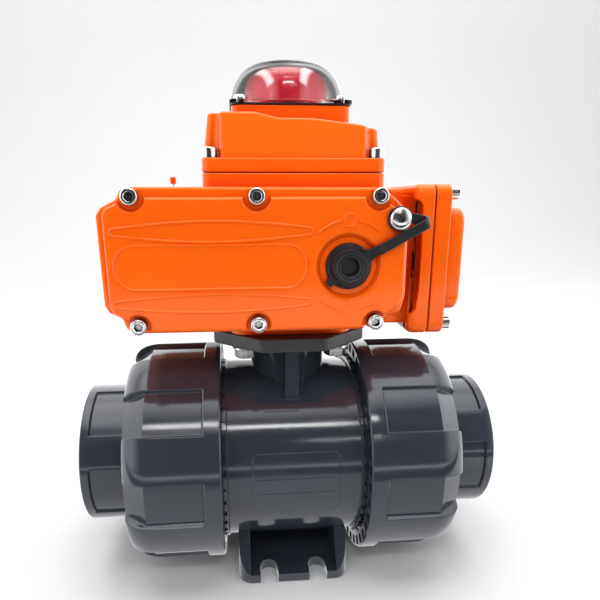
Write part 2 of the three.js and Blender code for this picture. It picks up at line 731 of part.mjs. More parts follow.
function wormWheel() {
  const halfFace = 4.5;
  const { height, wheelTeeth, wheelModule, lead, wormRadius, wheelRadius } = gears;
  const leadSlope = lead / (2 * Math.PI * wormRadius);
  const rim = flat(gearOutline(wheelTeeth, wheelModule, true), height - halfFace, height + halfFace, "z");
  const hub = bar(14, height - 7, height + 7, "z");
  const toothed = twist(rim, leadSlope / wheelRadius, height);
  return cut(join(toothed, hub), bar(10.3, height - 8, height + 8, "z"));
}

/** The output shaft: a square socket for the stem below, then steps for the wheel, cams and drum. */
function outputShaft() {
  const round = turned([
    [0, 167.4], [15.2, 167.4], [15.2, 203.6], [10, 203.6], [10, 219], [7, 219],
    [7, 299], [5, 299], [5, 311], [0, 311],
  ], "z", [0, 0, 0], smallRound);
  const socketHalf = 7 + gap;
  return cut(round, block(-socketHalf, socketHalf, -socketHalf, socketHalf, 160, 181));
}

/** The plate that carries the motor and the gears, with the idler's stud. */
function gearPlateSolid() {
  const { front, back } = gearPlate;
  const { driven, idler, pinion, height } = gears;
  const { left, right, bottom, top } = room;
  const outline = caseOutline({ left: left + gap, right: right - gap, bottom: bottom + gap, top: top - gap });
  const sheet = flat(outline, front, back, "y");
  const stud = bar(4, back - 1, 45, "y", [idler.x, 0, height]);
  const wormHole = bar(5.8 + runningGap, front - 1, back + 1, "y", [driven.x, 0, height]);
  const motorHole = bar(5, front - 1, back + 1, "y", [pinion.x, 0, height]);
  return cut(join(sheet, stud), wormHole, motorHole);
}

function motorBody() {
  return turned([
    [0, -48], [23, -50], [26, -47], [26, 20], [10, 20], [10, 25.7], [3.6, 25.7], [3.6, 8], [0, 8],
  ], "y", [gears.pinion.x, 0, gears.height]);
}

function motorPinion() {
  const shaft = bar(3, 10, 44, "y", [gears.pinion.x, 0, gears.height], 10);
  return join(spurGear(gears.pinion, true), shaft);
}

/** A cam disc on the output shaft, with one lobe that starts at an angle in degrees. */
function camDisc(bottom, startDegrees) {
  const [low, high, lobe] = [10.5, 14, 60];
  const outline = [];
  for (let degrees = 0; degrees < 360; degrees += 15) {
    const angle = THREE.MathUtils.degToRad(startDegrees + degrees);
    const radius = degrees > 0 && degrees < lobe ? high : low;
    outline.push([radius * Math.cos(angle), radius * Math.sin(angle)]);
  }
  return cut(flat(outline, bottom, bottom + 4.5, "z"), bar(7 + gap, bottom - 1, bottom + 6, "z"));
}

/** A limit switch: a flat body with its lever towards the cams. */
function limitSwitch(bottom) {
  const casing = block(-14, 14, 18.5, 28.5, bottom, bottom + 6.7);
  const lever = block(-9, 12, 16.2, 17, bottom + 1.5, bottom + 5.2);
  const pivot = block(9, 12, 16.5, 19, bottom + 1.5, bottom + 5.2);
  return join(casing, lever, pivot);
}

function switchPlate() {
  const half = hatch.upper - gap;
  const bottom = gearCase.top + gap;
  return cut(block(-half, half, -half, half, bottom, bottom + 2), bar(7.6, bottom - 1, bottom + 3, "z"));
}

/** A blanking plug in a cable entry: a hexagon outside the back wall and a stem through it. */
function entryPlug([x, z]) {
  const head = bar(12, 60 + gap, 66, "y", [x, 0, z], 6);
  return join(head, bar(9.4, 55.5, 61, "y", [x, 0, z]));
}

function indicatorDrum() {
  const { radius, bottom, shoulder, top, crown } = drum;
  return turned([
    [5.3, bottom], [radius, bottom], [radius, shoulder], [crown, top], [0, top], [0, 311.4], [5.3, 311.4],
  ], "z");
}

// ---------------------------------------------------------------- the assembly

function valveGroup() {
  const group = new THREE.Group();
  group.position.z = pipe.axisHeight;
  group.add(piece("valve_body", valveBody(), "plastic"));
  group.add(piece("ball", ballSolid(), "plastic"));
  group.add(piece("valve_stem", stem(), "plastic"));
  group.add(piece("seat_retainer", retainerRing(), "plastic"));
  for (const [word, side] of [["left", -1], ["right", 1]]) {
    group.add(piece(`seat_${word}`, seatRing(side), "seatWhite"));
    group.add(piece(`face_seal_${word}`, faceSeal(side), "rubber"));
    group.add(piece(`${word}_end_connector`, endConnector(side), "plastic"));
    group.add(piece(`${word}_union_nut`, unionNut(side), "plastic"));
  }
  return group;
}

function caseGroup() {
  const group = new THREE.Group();
  group.add(piece("mounting_plate", mountingPlate(), "blackPlate"));
  group.add(piece("actuator_housing", housing(), "paint"));
  group.add(piece("front_cover", frontCover(), "paint"));
  group.add(piece("top_cover", topCover(), "paint"));
  group.add(piece("terminal_cover", terminalCover(), "paint"));
  group.add(piece("indicator_dome", indicatorDome(), "smoked"));
  group.add(piece("override_strap", overrideStrap(), "rubber"));
  group.add(piece("override_plug", overridePlug(), "rubber"));
  cableEntries.forEach((place, index) => {
    group.add(piece(`cable_entry_plug_${index + 1}`, entryPlug(place), "switchBlack"));
  });
  return group;
}

function driveGroup() {
  const group = new THREE.Group();
  group.add(piece("output_shaft", outputShaft(), "steel"));
  group.add(piece("worm_wheel", wormWheel(), "brass"));
  group.add(piece("worm_shaft", wormShaft(), "steel"));
  group.add(piece("worm_gear", spurGear(gears.driven, true, 5 + gap), "steel"));
  group.add(piece("idler_gear", spurGear(gears.idler, false, 4 + runningGap), "steel"));
  group.add(piece("motor_pinion", motorPinion(), "steel"));
  group.add(piece("motor", motorBody(), "steel"));
  group.add(piece("gear_plate", gearPlateSolid(), "steel"));
  group.add(piece("circuit_board", block(-90, -6, -57, -55.4, 192, 236), "board"));
  group.add(piece("switch_plate", switchPlate(), "steel"));
  group.add(piece("cam_open", camDisc(257.4, 60), "seatWhite"));
  group.add(piece("cam_close", camDisc(264.6, 150), "seatWhite"));
  group.add(piece("limit_switch_open", limitSwitch(256.4), "switchBlack"));
  group.add(piece("limit_switch_close", limitSwitch(263.4), "switchBlack"));
  group.add(piece("indicator_drum", indicatorDrum(), "red"));
  return group;
}

function fastenerGroup() {
  const group = new THREE.Group();
  const front = Y.clone().negate();
  const down = Z.clone().negate();
  const fromCorners = (half, z) => fourCorners(half, half).map(([x, y]) => [x, y, z]);
  const seated = 0.1; // a head stands this far off the face it clamps
  const lidPlaces = fromCorners(lid.boltAt, lid.flangeTop + seated);
  const domePlaces = fromCorners(dome.screwAt, dome.flangeTop + seated);
  const platePlaces = fromCorners(plate.boltAt, plate.bottom - seated);
  const sidePlaces = terminalBolts.map(([y, z]) => [terminal.coverFlange + seated, y, z]);
  fastenAt(group, "front_cover_screw", bolt(4.25, 5, 2.4, 17), coverScrewPlaces(cover.rim - seated), front);
  fastenAt(group, "top_cover_bolt", bolt(4.2, 5.6, 2.3, 15), lidPlaces, Z);
  fastenAt(group, "dome_screw", bolt(4, 2.9, 1.7, 9), domePlaces, Z);
  fastenAt(group, "terminal_cover_bolt", bolt(3.7, 6.4, 2.3, 18), sidePlaces, X);
  fastenAt(group, "mounting_bolt", bolt(6, 7.4, 3.7, 17), platePlaces, down);
  const strapPlace = [strap.anchor[0], strap.front - seated, strap.anchor[1]];
  const strapScrew = piece("strap_screw", bolt(5.9, 2.2, 1.8, 8.5), "steel", strapPlace);
  strapScrew.quaternion.setFromUnitVectors(Z, front);
  group.add(strapScrew);
  return group;
}

const group = new THREE.Group();
group.name = "motorised_ball_valve";
group.add(valveGroup(), caseGroup(), driveGroup(), fastenerGroup());

export default group;
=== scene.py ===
"""The looks of a motorised true-union ball valve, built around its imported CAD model.

Shapes are made in millimetres, +Z up, -Y the front, and scaled to metres when they are finished.
"""

import json
import math

import bmesh
import bpy
from mathutils import Matrix, Vector

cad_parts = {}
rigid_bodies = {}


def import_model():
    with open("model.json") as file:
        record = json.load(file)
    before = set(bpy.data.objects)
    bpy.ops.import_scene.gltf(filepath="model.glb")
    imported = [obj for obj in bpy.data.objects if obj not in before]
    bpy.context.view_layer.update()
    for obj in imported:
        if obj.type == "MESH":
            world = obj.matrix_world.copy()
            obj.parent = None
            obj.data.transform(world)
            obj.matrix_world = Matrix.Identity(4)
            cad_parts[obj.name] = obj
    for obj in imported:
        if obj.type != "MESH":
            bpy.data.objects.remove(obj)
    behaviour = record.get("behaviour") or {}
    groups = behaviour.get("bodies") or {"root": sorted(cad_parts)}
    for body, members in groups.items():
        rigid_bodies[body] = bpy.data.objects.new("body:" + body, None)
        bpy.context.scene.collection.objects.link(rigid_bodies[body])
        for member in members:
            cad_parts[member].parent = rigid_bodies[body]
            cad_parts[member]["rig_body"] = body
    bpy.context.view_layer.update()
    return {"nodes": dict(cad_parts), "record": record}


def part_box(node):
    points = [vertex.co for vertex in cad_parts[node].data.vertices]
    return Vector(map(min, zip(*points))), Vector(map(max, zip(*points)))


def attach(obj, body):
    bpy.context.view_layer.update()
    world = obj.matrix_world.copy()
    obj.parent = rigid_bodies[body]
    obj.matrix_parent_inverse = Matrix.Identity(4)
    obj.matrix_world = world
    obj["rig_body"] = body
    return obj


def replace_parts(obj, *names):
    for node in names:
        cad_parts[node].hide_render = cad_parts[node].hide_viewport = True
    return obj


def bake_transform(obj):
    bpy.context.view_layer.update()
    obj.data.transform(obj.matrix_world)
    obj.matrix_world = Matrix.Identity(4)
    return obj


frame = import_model()

MM = 0.001
TURN = 2 * math.pi
ROUND = 96  # steps around a large round surface
SMALL = 40  # steps around a small round surface

slot_of = {part["node"]: part["material_slot"] for part in frame["record"]["subparts"]}


def box(node):
    """A CAD node's ((x0, x1), (y0, y1), (z0, z1)) in millimetres."""
    low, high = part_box(node)
    return tuple((low[i] / MM, high[i] / MM) for i in range(3))


def middle(pair):
    return (pair[0] + pair[1]) / 2


def centre_of(node):
    """The middle of a CAD node's box in millimetres."""
    return tuple(middle(span) for span in box(node))


# ---------------------------------------------------------------- making and joining solids


def solid(bm):
    """An object from a bmesh, with its normals outwards."""
    bmesh.ops.remove_doubles(bm, verts=bm.verts, dist=1e-4)
    bmesh.ops.recalc_face_normals(bm, faces=bm.faces)
    mesh = bpy.data.meshes.new("solid")
    bm.to_mesh(mesh)
    bm.free()
    obj = bpy.data.objects.new("solid", mesh)
    bpy.context.scene.collection.objects.link(obj)
    return obj


def applied(obj):
    """Makes the object's modifiers part of its mesh."""
    graph = bpy.context.evaluated_depsgraph_get()
    graph.update()
    mesh = bpy.data.meshes.new_from_object(obj.evaluated_get(graph))
    obj.modifiers.clear()
    old = obj.data
    obj.data = mesh
    bpy.data.meshes.remove(old)
    return obj


def combined(obj, tools, operation):
    group = bpy.data.collections.new("tools")
    for tool in tools:
        group.objects.link(tool)
    modifier = obj.modifiers.new("combine", "BOOLEAN")
    modifier.operation = operation
    modifier.solver = "EXACT"
    modifier.operand_type = "COLLECTION"
    modifier.collection = group
    applied(obj)
    for tool in tools:
        bpy.data.objects.remove(tool)
    bpy.data.collections.remove(group)
    return obj


def cut(obj, *tools):
    return combined(obj, tools, "DIFFERENCE")


def join(obj, *others):
    return combined(obj, others, "UNION")


def common(obj, other):
    return combined(obj, [other], "INTERSECT")


def tidied(obj):
    """Merges faces that lie in one plane, so that an edge can be rounded in one go."""
    bm = bmesh.new()
    bm.from_mesh(obj.data)
    bmesh.ops.remove_doubles(bm, verts=bm.verts, dist=2e-3)
    bmesh.ops.dissolve_limit(bm, angle_limit=math.radians(0.4), verts=bm.verts, edges=bm.edges)
    bm.to_mesh(obj.data)
    bm.free()
    return obj


def softened(obj, width, steps=2, angle=32):
    """Rounds every edge sharper than an angle."""
    modifier = tidied(obj).modifiers.new("round", "BEVEL")
    modifier.width = width
    modifier.segments = steps
    modifier.limit_method = "ANGLE"
    modifier.angle_limit = math.radians(angle)
    modifier.use_clamp_overlap = False
    modifier.miter_outer = "MITER_ARC"
    return applied(obj)


def placed(axis, u, v, w):
    """A point from an outline's two coordinates and its place along the axis."""
    return {"x": (w, u, v), "y": (u, w, v), "z": (u, v, w)}[axis]


def loft(rings, closed=False):
    """A solid skinned over rings of points. A ring of one point is a tip."""
    bm = bmesh.new()
    rows = [[bm.verts.new(point) for point in ring] for ring in rings]
    pairs = list(zip(rows, rows[1:]))
    if closed:
        pairs.append((rows[-1], rows[0]))
    for low, high in pairs:
        count = max(len(low), len(high))
        for i in range(count):
            j = (i + 1) % count
            if len(low) == 1:
                bm.faces.new((low[0], high[j], high[i]))
            elif len(high) == 1:
                bm.faces.new((low[i], low[j], high[0]))
            else:
                bm.faces.new((low[i], low[j], high[j], high[i]))
    if not closed:
        for row in (rows[0], rows[-1]):
            if len(row) > 2:
                bm.faces.new(row)
    return solid(bm)


def prism(outline, low, high, axis="z"):
    """An outline made thick along an axis."""
    return loft([[placed(axis, u, v, w) for u, v in outline] for w in (low, high)])


def block(x0, x1, y0, y1, z0, z1):
    return prism([(x0, y0), (x1, y0), (x1, y1), (x0, y1)], z0, z1)


def turned(profile, axis, at=(0, 0, 0), steps=ROUND, closed=False):
    """A solid of revolution. The profile is a list of (radius, place along the axis)."""
    rings = []
    for radius, along in profile:
        if radius < 1e-6:
            points = [placed(axis, 0, 0, along)]
        else:
            angles = [TURN * i / steps for i in range(steps)]
            points = [placed(axis, radius * math.cos(a), radius * math.sin(a), along) for a in angles]
        rings.append([tuple(c + o for c, o in zip(point, at)) for point in points])
    return loft(rings, closed)


def bar(radius, low, high, axis, at=(0, 0, 0), steps=SMALL):
    return turned([(0, low), (radius, low), (radius, high), (0, high)], axis, at, steps)


def bars(radius, low, high, axis, places, steps=20):
    """Round bars along an axis, each through a point given by its two coordinates across it."""
    return [bar(radius, low, high, axis, placed(axis, u, v, 0), steps) for u, v in places]


def corners(u, v):
    return [(side_u * u, side_v * v) for side_u in (-1, 1) for side_v in (-1, 1)]


def quarter(steps, first=0):
    """The angles of a quarter of a turn, in equal steps."""
    return [math.radians(90 * i / steps) for i in range(first, steps + 1)]


def circle(middle_u, middle_v, radius, steps):
    """A round section's points. The middle and the points are (radius, place along the axis)."""
    angles = [TURN * i / steps for i in range(steps)]
    return [(middle_u + radius * math.cos(a), middle_v + radius * math.sin(a)) for a in angles]


def filleted(points, radius, steps=5):
    """An outline with rounded corners. The radius is one number, or one for each corner."""
    outline = []
    count = len(points)
    for i, point in enumerate(points):
        r = radius[i] if isinstance(radius, (list, tuple)) else radius
        corner = Vector(point)
        before = Vector(points[i - 1]) - corner
        after = Vector(points[(i + 1) % count]) - corner
        reach = 0.48 * min(before.length, after.length)
        half = before.angle(after) / 2
        back = min(r / math.tan(half), reach) if r > 0 else 0
        if back < 1e-3:
            outline.append(tuple(corner))
            continue
        r = back * math.tan(half)
        start = corner + before.normalized() * back
        end = corner + after.normalized() * back
        centre = corner + (before.normalized() + after.normalized()).normalized() * (r / math.sin(half))
        from_angle = math.atan2(*reversed(start - centre))
        sweep = math.atan2(*reversed(end - centre)) - from_angle
        sweep = (sweep + math.pi) % TURN - math.pi
        for k in range(steps + 1):
            angle = from_angle + sweep * k / steps
            outline.append((centre.x + r * math.cos(angle), centre.y + r * math.sin(angle)))
    return outline


def rectangle(left, right, bottom, top, radius, steps=6):
    return filleted([(left, bottom), (right, bottom), (right, top), (left, top)], radius, steps)


def oblong(half_u, half_v, radius, steps=6):
    return rectangle(-half_u, half_u, -half_v, half_v, radius, steps)


def arc(centre, radius, start, end, steps):
    """Points on an arc, with angles in degrees."""
    points = []
    for i in range(steps + 1):
        angle = math.radians(start + (end - start) * i / steps)
        points.append((centre[0] + radius * math.cos(angle), centre[1] + radius * math.sin(angle)))
    return points


def rib(path, y, radius, closed=False, sides=8):
    """A thin round rib along a path of (x, z) points on a face that looks to the front."""
    rings = []
    count = len(path)
    for i, (x, z) in enumerate(path):
        before = path[i - 1] if closed or i > 0 else path[i]
        after = path[(i + 1) % count] if closed or i + 1 < count else path[i]
        along = Vector((after[0] - before[0], after[1] - before[1])).normalized()
        across = Vector((-along.y, along.x))
        ring = []
        for k in range(sides):
            angle = TURN * (k + 0.5) / sides
            side = radius * math.cos(angle)
            ring.append((x + across.x * side, y + radius * math.sin(angle), z + across.y * side))
        rings.append(ring)
    return loft(rings, closed)


# ---------------------------------------------------------------- materials


class Nodes:
    """Short ways to add shader nodes to a tree."""

    def __init__(self, tree):
        self.tree = tree

    def feed(self, node, inputs):
        for key, value in inputs.items():
            if isinstance(value, bpy.types.NodeSocket):
                self.tree.links.new(value, node.inputs[key])
            else:
                node.inputs[key].default_value = value
        return node

    def add(self, kind, inputs=None, **settings):
        node = self.tree.nodes.new("ShaderNode" + kind)
        for key, value in settings.items():
            setattr(node, key, value)
        return self.feed(node, inputs or {})

    def ramp(self, value, low, high, start=0.3, end=0.7):
        inputs = {"Value": value, "From Min": start, "From Max": end, "To Min": low, "To Max": high}
        return self.add("MapRange", inputs).outputs[0]

    def math(self, first, second, operation="ADD"):
        return self.add("Math", {0: first, 1: second}, operation=operation).outputs[0]

    def times(self, first, second):
        return self.math(first, second, "MULTIPLY")

    def path(self, flag):
        return self.add("LightPath").outputs[flag]


class Look(Nodes):
    """A node material with one main shader."""

    def __init__(self, name):
        self.material = bpy.data.materials.new(name)
        self.material.use_nodes = True
        super().__init__(self.material.node_tree)
        self.shader = self.tree.nodes["Principled BSDF"]
        self.place = self.add("TexCoord").outputs["Object"]

    def noise(self, scale, detail=3.0, roughness=0.5, stretch=(1, 1, 1)):
        scaled = self.add("Mapping", {"Vector": self.place, "Scale": stretch})
        inputs = {"Vector": scaled.outputs[0], "Scale": scale, "Detail": detail, "Roughness": roughness}
        return self.add("TexNoise", inputs).outputs["Fac"]

    def mix(self, factor, first, second):
        factor_in, first_in, second_in, colour_out = 0, 6, 7, 2
        node = self.add("Mix", data_type="RGBA")
        return self.feed(node, {factor_in: factor, first_in: first, second_in: second}).outputs[colour_out]

    def bump(self, height, distance, strength=1.0, normal=None):
        inputs = {"Height": height, "Distance": distance, "Strength": strength}
        if normal is not None:
            inputs["Normal"] = normal
        return self.add("Bump", inputs).outputs[0]

    def switch(self, flag, other):
        """Shows another shader to the rays that a flag of the light path marks."""
        either = self.add("MixShader", {"Fac": self.path(flag)})
        self.tree.links.new(self.shader.outputs[0], either.inputs[1])
        self.tree.links.new(other.outputs[0], either.inputs[2])
        self.tree.links.new(either.outputs[0], self.tree.nodes["Material Output"].inputs[0])


def tint(colour, factor=1.0):
    return tuple(min(1.0, part * factor) for part in colour[:3]) + (1.0,)


def plain_look(name, colour, rough, metal=0.0, vary=0.08, patch=45, grain=1200, depth=2e-5,
               spread=0.06, stretch=(1, 1, 1), crevice_shade=0.0, **extra):
    """A material whose colour drifts in patches, whose gloss varies and whose surface has a grain.

    Painted shade darkens it in its crevices.
    """
    look = Look(name)
    patches = look.noise(patch, 4.0)
    colours = look.mix(look.ramp(patches, 0, 1), tint(colour, 1 - vary), tint(colour, 1 + vary))
    if crevice_shade:
        # Painted shade: the colour goes nearly black where ambient occlusion finds a crevice or socket.
        open_sky = look.add("AmbientOcclusion", {"Distance": 0.003}, samples=6).outputs["AO"]
        colours = look.mix(look.ramp(open_sky, crevice_shade, 0, 0.25, 0.85), colours, (0.012, 0.012, 0.013, 1))
    gloss = look.ramp(look.noise(patch * 5, 3.0, stretch=stretch), rough - spread, rough + spread)
    relief = look.bump(look.noise(grain, 2.0, stretch=stretch), depth)
    inputs = {"Base Color": colours, "Roughness": gloss, "Metallic": metal, "Normal": relief}
    inputs.update({key.replace("_", " "): value for key, value in extra.items()})
    look.feed(look.shader, inputs)
    return look


def paint_look():
    """Orange powder coat: slight orange peel under a clear gloss, painted shade of deeper red in its hollows.
    """
    colour = (0.87, 0.098, 0.0015)
    look = Look("orange_paint")
    peel = look.noise(420, 2.0, 0.6)
    waves = look.noise(70, 2.0)
    hue = look.mix(look.ramp(look.noise(18, 3.0), 0, 1), tint(colour, 0.96), (0.9, 0.108, 0.002, 1))
    dust = look.ramp(look.noise(300, 6.0, 0.75), 0, 0.006, 0.6, 0.85)
    base = look.mix(dust, hue, (1, 0.5, 0.25, 1))
    # Painted shade: where ambient occlusion finds a hollow, gap or well, the colour turns deep red.
    near = look.add("AmbientOcclusion", {"Distance": 0.02}, samples=6).outputs["AO"]
    base = look.mix(look.ramp(near, 0.85, 0, 0.3, 0.8), base, (0.55, 0.008, 0.001, 1))
    gloss = look.ramp(look.noise(130, 4.0), 0.3, 0.38)
    relief = look.bump(peel, 1.4e-5, 1.0, look.bump(waves, 7e-5, 1.0))
    look.feed(look.shader, {
        "Base Color": base, "Roughness": gloss, "Normal": relief,
        "Coat Weight": 0.3, "Coat Roughness": 0.1, "Specular IOR Level": 0.9,
        "Specular Tint": (1, 0.42, 0.05, 1),
    })
    return look


def window_look():
    """Smoke-tinted clear plastic that is darkest where it is seen edge on. It lets light through.

    Painted highlights glow on it, for the camera only: two tall lamps at its sides and a small one in front.
    """
    look = Look("clear_window")
    facing = look.add("LayerWeight", {"Blend": 0.5}).outputs["Facing"]
    edge = look.ramp(facing, 0, 1, 0.18, 0.46)
    smear = look.ramp(look.noise(120, 4.0), 0.0, 0.04)
    colour = look.mix(edge, (0.84, 0.82, 0.82, 1), (0.15, 0.155, 0.155, 1))
    look.feed(look.shader, {
        "Base Color": colour, "Roughness": smear, "Transmission Weight": 1.0, "IOR": 1.13,
    })
    heading = look.add("SeparateXYZ", {"Vector": look.add("TexCoord").outputs["Reflection"]})
    across, ahead = heading.outputs["X"], heading.outputs["Y"]

    def painted_lamp_glint(left, right, front, back, soft, strength):
        """A painted highlight where the mirrored direction is between two limits across and two in depth."""
        patch = strength
        for value, low, high, limit in ((across, 0, 1, left), (across, 1, 0, right),
                                        (ahead, 0, 1, front), (ahead, 1, 0, back)):
            patch = look.times(look.ramp(value, low, high, limit - soft, limit + soft), patch)
        return patch

    patches = painted_lamp_glint(-0.6, -0.42, -0.6, 0.2, 0.05, 0.7)
    patches = look.math(patches, painted_lamp_glint(0.34, 0.52, -0.64, 0.1, 0.05, 0.8))
    patches = look.math(patches, painted_lamp_glint(-0.16, 0.17, -0.75, -0.7, 0.015, 1.0))
    # Painted highlights: the dome glows in these patches, but only for camera rays.
    seen = look.times(patches, look.path("Is Camera Ray"))
    look.feed(look.shader, {"Emission Color": (1, 0.98, 0.97, 1), "Emission Strength": seen})
    look.switch("Is Shadow Ray", look.add("BsdfTransparent", {"Color": (0.82, 0.8, 0.8, 1)}))
    return look


def board_look():
    """A green circuit board with pale copper tracks under its lacquer."""
    look = plain_look("board_green", (0.02, 0.15, 0.055), 0.35, grain=800)
    place = look.add("Mapping", {"Vector": look.place, "Rotation": (math.pi / 2, 0, 0)}).outputs[0]
    inputs = {"Vector": place, "Scale": 160.0, "Mortar Size": 0.02, "Brick Width": 1.3}
    inputs.update({"Color1": (0.02, 0.15, 0.055, 1), "Color2": (0.016, 0.12, 0.045, 1)})
    inputs["Mortar"] = (0.1, 0.33, 0.1, 1)
    look.feed(look.shader, {"Base Color": look.add("TexBrick", inputs).outputs["Color"]})
    return look


def plastic_look():
    """Glossy dark grey moulded plastic with faint flow marks."""
    look = Look("valve_plastic")
    base = (0.026, 0.031, 0.042)
    flow = look.noise(26, 4.0, 0.6, (0.35, 1, 1))
    colour = look.mix(look.ramp(flow, 0, 1), tint(base, 0.88), tint(base, 1.14))
    dust = look.ramp(look.noise(900, 5.0, 0.8), 0, 0.03, 0.6, 0.85)
    base_colour = look.mix(dust, colour, (0.3, 0.32, 0.35, 1))
    gloss = look.ramp(look.noise(90, 4.0, 0.6, (0.3, 1, 1)), 0.1, 0.17)
    grain = look.bump(look.noise(800), 4e-6)
    relief = look.bump(look.noise(38, 2.0, 0.5, (0.3, 1, 1)), 4e-5, 1.0, grain)
    look.feed(look.shader, {
        "Base Color": base_colour, "Roughness": gloss, "Normal": relief, "Specular IOR Level": 0.6,
    })
    return look


looks = {
    "orange_paint": paint_look(),
    "valve_plastic": plastic_look(),
    "clear_window": window_look(),
    "board_green": board_look(),
    "seat_plastic": plain_look("seat_plastic", (0.8, 0.8, 0.77), 0.42, vary=0.03),
    "seal_rubber": plain_look("seal_rubber", (0.008, 0.008, 0.01), 0.36, vary=0.2, grain=2200, depth=2e-5,
                              Specular_IOR_Level=0.4),
    "plate_black": plain_look("plate_black", (0.03, 0.03, 0.032), 0.5, vary=0.15, grain=1500, depth=5e-5),
    "indicator_red": plain_look("indicator_red", (0.52, 0.012, 0.028), 0.22, vary=0.08, grain=500,
                                Coat_Weight=0.5, Coat_Roughness=0.08),
    # Stainless steel, with painted shade that darkens its screw sockets and crevices.
    "stainless": plain_look("stainless", (0.6, 0.59, 0.58), 0.2, 1.0, spread=0.07, grain=2500, depth=1e-5,
                            stretch=(1, 1, 0.15), crevice_shade=0.95),
    "gear_steel": plain_look("gear_steel", (0.42, 0.42, 0.44), 0.3, 1.0, spread=0.08, stretch=(1, 0.1, 1)),
    "wheel_bronze": plain_look("wheel_bronze", (0.55, 0.35, 0.13), 0.3, 1.0, vary=0.12, spread=0.08),
    "motor_steel": plain_look("motor_steel", (0.38, 0.39, 0.41), 0.32, 1.0, vary=0.1, stretch=(1, 0.1, 1)),
    "plate_zinc": plain_look("plate_zinc", (0.5, 0.52, 0.55), 0.36, 1.0, vary=0.16, patch=120, spread=0.1),
    "switch_black": plain_look("switch_black", (0.02, 0.02, 0.022), 0.42, vary=0.15, grain=1800, depth=3e-5),
    "cam_plastic": plain_look("cam_plastic", (0.78, 0.78, 0.72), 0.4, vary=0.04),
}


# ---------------------------------------------------------------- finishing a piece


def finished(obj, name, body, slot, sharp=34, weighted=True):
    """Scales a shape to metres, gives it its finish and puts it on a CAD body."""
    obj.data.transform(Matrix.Scale(MM, 4))
    obj.name = name
    obj.data.name = name
    obj.data.materials.clear()
    obj.data.materials.append(looks[slot].material)
    obj.data.shade_smooth()
    obj.data.set_sharp_from_angle(angle=math.radians(sharp))
    if weighted:
        modifier = obj.modifiers.new("shading", "WEIGHTED_NORMAL")
        modifier.keep_sharp = True
    if body:
        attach(obj, body)
    return obj


def stand_for(node, obj, **options):
    """Finishes a shape that is shown in place of a CAD node, on the same body and in the same finish."""
    finished(obj, f"{node}_shape", frame["nodes"][node]["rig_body"], slot_of[node], **options)
    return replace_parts(obj, node)


# ---------------------------------------------------------------- the valve

(_, body_end), _, (_, neck_top) = box("valve_body")
pipe_z = middle(box("left_end_connector")[2])
pipe_end = box("right_end_connector")[0][1]
pipe_at = (0, 0, pipe_z)
flow_radius = 32.5
barrel_radius = 60.0
thread_root = 60.3
thread_crest = 62.0
thread_pitch = 6.0
plate_low, plate_high = box("mounting_plate")[2]


def screw_thread(root, crest, start, end, turned_by, root_width, crest_width):
    """A right-handed ridge around the pipe axis, from one place along it to another."""
    steps_per_turn = 72
    steps = int(steps_per_turn * (end - start) / thread_pitch)
    rings = []
    for i in range(steps + 1):
        along = start + (end - start) * i / steps
        angle = TURN * along / thread_pitch + turned_by
        fade = min(1.0, i / 12, (steps - i) / 12)
        tip = root + (crest - root) * fade
        foot = root - math.copysign(0.5, crest - root)
        ring = []
        section = ((foot, root_width), (tip, crest_width), (tip, -crest_width), (foot, -root_width))
        for radius, across in section:
            ring.append((along + across, radius * math.cos(angle), pipe_z + radius * math.sin(angle)))
        rings.append(ring)
    return loft(rings)


